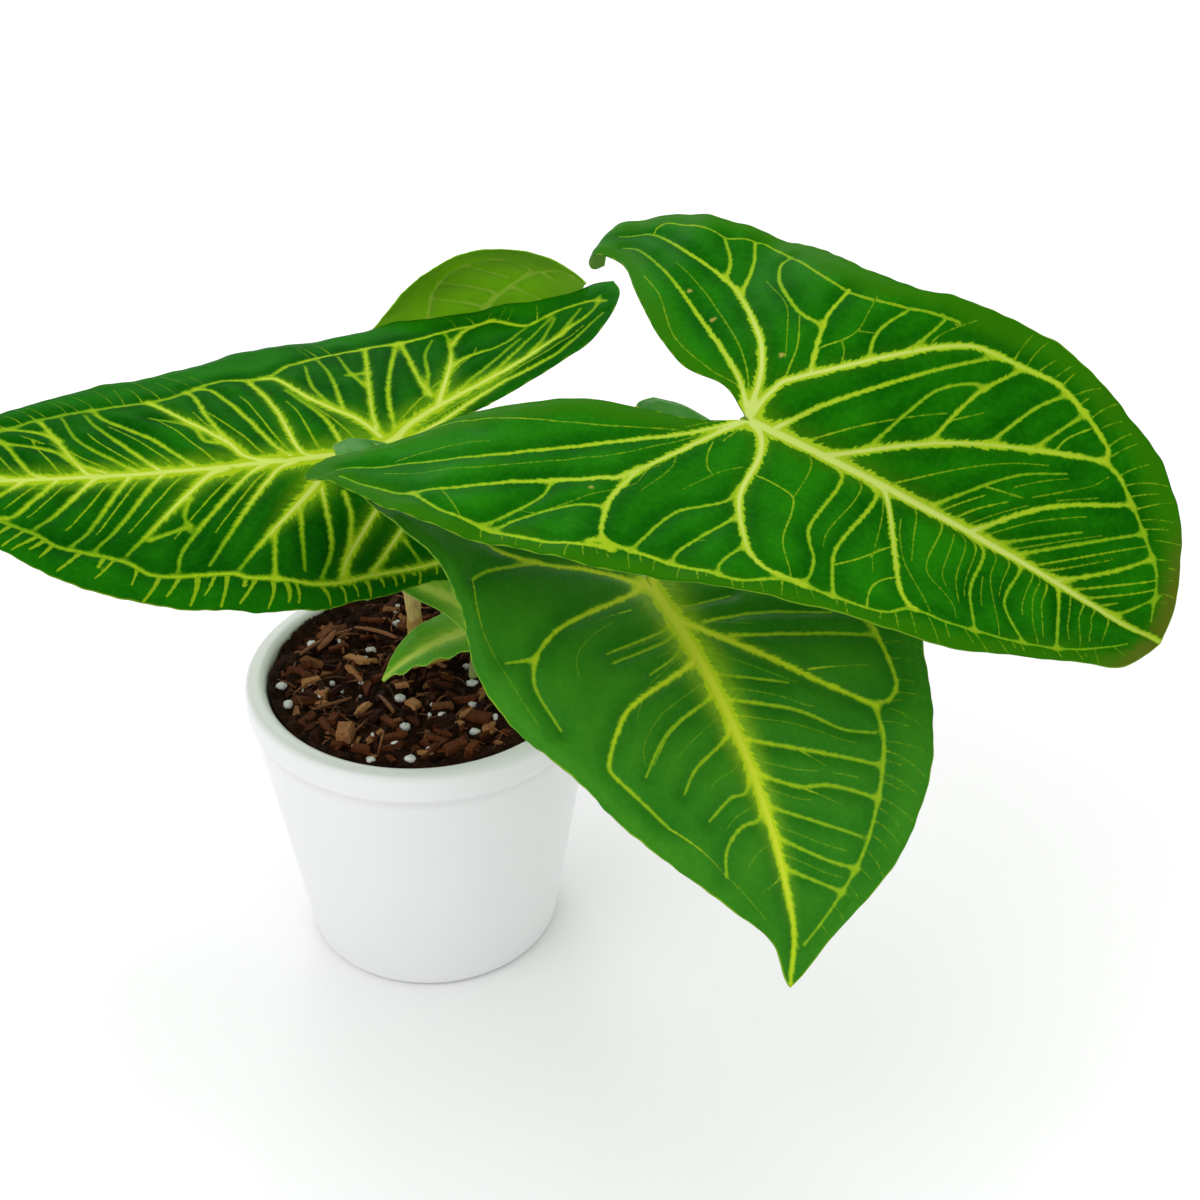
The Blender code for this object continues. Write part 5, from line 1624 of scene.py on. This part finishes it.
# %% Small forms
def pebble(rng, size, roundness, wander, around=8, corner=1.0):
    """A slab: rings at four heights of a shoulder times an outline. The outline is
    1 / (|cos|^p + |sin|^p)^(1/p) with p = 2 corner, which is a circle for corner 1 and a rounded box for
    more, and it wanders a little."""
    turn = (np.arange(around) + 0.5) * 2 * np.pi / around + rng.uniform(-0.8, 0.8, around) / around
    power = 2 * corner
    outline = (abs(np.cos(turn)) ** power + abs(np.sin(turn)) ** power) ** (-1 / power)
    outline *= 1 + rng.uniform(-wander, wander, around)
    shoulder = np.array([roundness, 1, 1, roundness])
    lean = rng.uniform(-0.10, 0.10, (4, 2))
    rings = np.stack([
        shoulder[:, None] * outline * np.cos(turn) + lean[:, :1],
        shoulder[:, None] * outline * np.sin(turn) + lean[:, 1:],
        np.array([-1, -0.6, 0.5, 1.0])[:, None] + rng.uniform(-0.2, 0.2, (4, around)),
    ], -1) * np.array(size) / 2
    points = np.vstack([rings.reshape(-1, 3), rings[0].mean(0), rings[3].mean(0)])
    return points, capped_faces(4, around)


def turned_by(points, heading, pitch, roll):
    """Points turned about X by roll, about Y by pitch and then about Z by heading."""
    (ch, sh), (cp, sp), (cr, sr) = ((math.cos(a), math.sin(a)) for a in (heading, pitch, roll))
    about_x = np.array([[1, 0, 0], [0, cr, -sr], [0, sr, cr]])
    about_y = np.array([[cp, 0, sp], [0, 1, 0], [-sp, 0, cp]])
    about_z = np.array([[ch, -sh, 0], [sh, ch, 0], [0, 0, 1]])
    return points @ (about_z @ about_y @ about_x).T


# %% Joining and placing
WALL_ROOM, STALK_ROOM = 0.0015, 0.0028


def scatter(name, forms, facets=False):
    """One mesh from many forms of (points, faces, tone): the points joined, the tone kept for each point."""
    points = [form[0] for form in forms]
    offsets = np.cumsum([0] + [len(spots) for spots in points])
    faces = [form[1] + offset for form, offset in zip(forms, offsets)]
    tones = [np.tile([form[2], 0, 0], (len(form[0]), 1)) for form in forms]
    mesh = new_mesh(name, np.vstack(points), np.vstack(faces), {"tone": np.vstack(tones)})
    if facets:
        mesh.shade_flat()
    print(f"{name}: {len(forms)} forms")
    return mesh


def free_spot(rng, clear):
    """A random place on the soil that keeps clear of the stalks and of the wall."""
    top = inner_radius(SOIL_LEVEL) - WALL_ROOM - clear
    while True:
        x, y = rng.uniform(-top, top, 2)
        from_stalks = min(math.dist((x, y), leaf["foot"]) for leaf in LEAVES.values())
        if math.hypot(x, y) < top and from_stalks > clear + STALK_ROOM:
            return x, y


def on_soil(points, x, y, lift):
    """Points moved to a place on the soil, their middle lift above its surface."""
    return points + (x, y, soil_height(x, y) + lift)


# %% Bark
rng = np.random.default_rng(12)
bark = []
SHOWN_CHIPS = [  # x, y, length, width, thickness in millimetres, heading in degrees, tone
    (-20.3, -30.8, 7.0, 6.5, 5.0, 84, 0.84), (-33.0, -5.7, 6.5, 3.0, 2.2, 28, 0.93),
    (-29.1, -10.8, 5.0, 4.0, 2.2, -30, 0.88), (-1.3, -16.7, 5.0, 4.0, 2.4, -35, 0.97),
    (12.1, -36.0, 8.5, 4.5, 2.6, 35, 0.62), (18.5, -22.5, 10.0, 4.6, 2.4, -14, 0.55),
    (-8.8, -23.0, 9.0, 2.6, 1.8, -55, 0.66), (-5.8, -32.2, 9.5, 2.2, 1.8, 5, 0.62),
    (-11.7, -2.0, 7.0, 2.6, 1.8, 20, 0.5), (7.3, -17.6, 7.5, 3.0, 2.0, 10, 0.72),
    (-5.7, -7.2, 5.5, 1.8, 1.6, 12, 0.95), (-27.5, 22.5, 6.5, 3.0, 2.0, 40, 0.5),
    (-24.4, -23.5, 6.0, 3.0, 2.2, 70, 0.45), (3.4, -30.3, 6.5, 2.0, 1.6, 88, 0.75),
    (-14.6, -38.0, 7.0, 3.0, 2.0, -20, 0.6), (-31.2, 20.2, 9.0, 3.2, 2.2, 58, 0.72),
    (17.0, -37.0, 6.0, 2.6, 2.2, 62, 0.66), (24.5, -13.0, 7.0, 3.4, 2.2, -40, 0.5),
]
for x, y, length, width, thick, heading, tone in SHOWN_CHIPS:
    points, faces = pebble(rng, (length / 1000, width / 1000, thick / 1000), 0.90, 0.10, 4, 1.6)
    points = turned_by(points, math.radians(heading), *rng.normal(0, 0.10, 2))
    bark.append((on_soil(points, x / 1000, y / 1000, 0.0009 + thick / 6000), faces, tone))
SMALLEST_CHIP, CHIP_GROWTH = np.array([0.0032, 0.0011, 0.0007]), np.array([0.0068, 0.0022, 0.0011])
for _ in range(330):
    size = SMALLEST_CHIP + CHIP_GROWTH * rng.uniform(0, 1) ** 1.8
    size = size * rng.uniform(0.8, 1.2, 3)
    x, y = free_spot(rng, size[0] / 2)
    points, faces = pebble(rng, size, rng.uniform(0.78, 0.95), 0.2, int(rng.integers(4, 6)), 1.5)
    points = turned_by(points, rng.uniform(0, np.pi), rng.normal(0, 0.22), rng.normal(0, 0.25))
    bark.append((on_soil(points, x, y, 0.0006), faces, rng.uniform(0, 1) ** 1.7))

# %% Bark finish
bark_skin = Finish("bark", 0.85, 0.12)
tone = bark_skin.split(bark_skin.read("tone"))[0]
grain = bark_skin.noise(bark_skin.place(), 900, 3, 0.65)
wood = bark_skin.blend(bark_skin.ramp(tone, 0.0, 0.5), (0.014, 0.004, 0.0015), (0.105, 0.028, 0.008))
wood = bark_skin.blend(bark_skin.ramp(tone, 0.6, 1.1), wood, (0.52, 0.25, 0.10))
wood = bark_skin.blend(bark_skin.ramp(grain, 0.40, 0.75, 0.0, 0.5), wood, (0.030, 0.009, 0.003))
bark_skin.set("Base Color", wood)
bark_skin.set("Roughness", bark_skin.ramp(grain, 0.3, 0.7, 0.72, 0.95))
bark_skin.bump(grain, 0.0005, 0.7)
add_piece("bark_chips", scatter("bark_chips", bark, facets=True), bark_skin.material, "soil")

# %% White grains
grains = []
SHOWN_GRAINS = [  # x, y in millimetres
    (-35.4, 15.2), (-16.8, 12.5), (-38.5, -17.2), (-42.0, -6.7), (-5.7, -13.0), (-3.2, -26.0),
    (-4.8, -35.9), (5.2, -37.8), (15.9, -14.7), (17.5, -28.4), (4.3, -7.2), (13.3, 5.6), (15.4, -4.7),
    (7.7, -21.6), (-6.3, 40.7), (-10.1, 28.3), (-11.8, -41.5), (-0.4, -42.8),
]
for x, y in SHOWN_GRAINS:
    size = rng.uniform((0.0024, 0.0018, 0.0016), (0.0036, 0.0026, 0.0024))
    points, faces = pebble(rng, size, 0.55, 0.10)
    grains.append((on_soil(points, x / 1000, y / 1000, 0.0008), faces, rng.uniform(0.5, 1)))
for _ in range(34):
    x, y = free_spot(rng, 0.0012)
    points, faces = pebble(rng, rng.uniform(0.0008, 0.0019, 3), 0.5, 0.12)
    grains.append((on_soil(points, x, y, 0.0006), faces, rng.uniform(0, 1)))
grain_skin = Finish("white_grains", 0.8, 0.3)
tone = grain_skin.split(grain_skin.read("tone"))[0]
pores = grain_skin.noise(grain_skin.place(), 1500, 2, 0.6)
pale = grain_skin.blend(tone, (0.50, 0.50, 0.48), (0.82, 0.83, 0.83))
pale = grain_skin.blend(grain_skin.ramp(pores, 0.3, 0.55, 0.5, 0.0), pale, (0.22, 0.20, 0.17))
grain_skin.set("Base Color", pale)
grain_skin.bump(pores, 0.0005, 0.8)
add_piece("white_grains", scatter("white_grains", grains), grain_skin.material, "soil")

# %% Fibres and twigs
def splinter(rng, start, end, radius, bow, sides=6, steps=12):
    """A thin tapering rod between two places, bowed up in the middle and sideways at random: both bows are
    4 share (1 - share) times their height."""
    share = np.linspace(0, 1, steps)[:, None]
    start, end = np.array(start, float), np.array(end, float)
    side = np.cross(end - start, (0, 0, 1))
    path = start + (end - start) * share + side * rng.uniform(-0.12, 0.12) * share * (1 - share) * 4
    path[:, 2] += bow * 4 * share[:, 0] * (1 - share[:, 0])
    thick = radius * (0.55 + 0.45 * np.sin(np.pi * np.clip(share[:, 0] * 0.9 + 0.05, 0, 1)) ** 0.5)
    return tube(path, np.gradient(path, axis=0), thick, sides, 0.6)


fibres = []
SHOWN_RODS = [  # from and to on the soil and radius in millimetres, tone
    ((-22.9, 23.3), (-9.1, 16.8), 0.85, 0.85), ((-38.0, 7.7), (-23.7, 22.8), 0.8, 0.55),
    ((-33.2, 12.0), (-29.0, 21.0), 1.2, 0.7), ((-18.5, 3.2), (-14.0, 4.2), 1.0, 1.0),
    ((2.5, 2.6), (8.0, 5.6), 1.2, 1.2), ((-2.9, 1.4), (0.5, 2.6), 0.8, 1.1),
    ((-30.0, -18.0), (-20.0, -14.0), 0.6, 0.5), ((-12.0, -12.0), (-7.0, -20.0), 0.7, 0.6),
]
for start, end, radius, tone in SHOWN_RODS:
    spots = [(x / 1000, y / 1000) for x, y in (start, end)]
    ends = [(*spot, soil_height(*spot) + 0.0022) for spot in spots]
    fibres.append((*splinter(rng, *ends, radius / 1000, 0.0003), tone))
for _ in range(150):
    x, y = free_spot(rng, 0.004)
    size, heading = rng.uniform(0.003, 0.009), rng.uniform(0, 2 * np.pi)
    end = (x + size * math.cos(heading), y + size * math.sin(heading))
    if math.hypot(*end) > inner_radius(SOIL_LEVEL) - 0.002:
        continue
    ends = [(*spot, soil_height(*spot) + rng.uniform(0.0002, 0.0016)) for spot in ((x, y), end)]
    rod = splinter(rng, *ends, rng.uniform(0.00012, 0.0004), rng.uniform(0, 0.0008), 4, 7)
    fibres.append((*rod, rng.uniform(0.1, 0.9)))
fibre_skin = Finish("fibres", 0.8, 0.25)
tone = fibre_skin.split(fibre_skin.read("tone"))[0]
grain = fibre_skin.noise(fibre_skin.place(), 1200, 3, 0.6)
straw = fibre_skin.blend(fibre_skin.ramp(tone, 0.1, 0.9), (0.05, 0.018, 0.008), (0.30, 0.115, 0.045))
straw = fibre_skin.blend(fibre_skin.ramp(tone, 0.92, 1.15), straw, (0.50, 0.33, 0.035))
straw = fibre_skin.blend(fibre_skin.ramp(grain, 0.4, 0.7, 0.0, 0.5), straw, (0.06, 0.025, 0.01))
fibre_skin.set("Base Color", straw)
fibre_skin.bump(grain, 0.0003, 0.6)
add_piece("fibres", scatter("fibres", fibres), fibre_skin.material, "soil")

# %% [markdown]
# ## Finishing
# The view layer is brought up to date once more, so that every piece stands in its final place.

# %% Finish
bpy.context.view_layer.update()
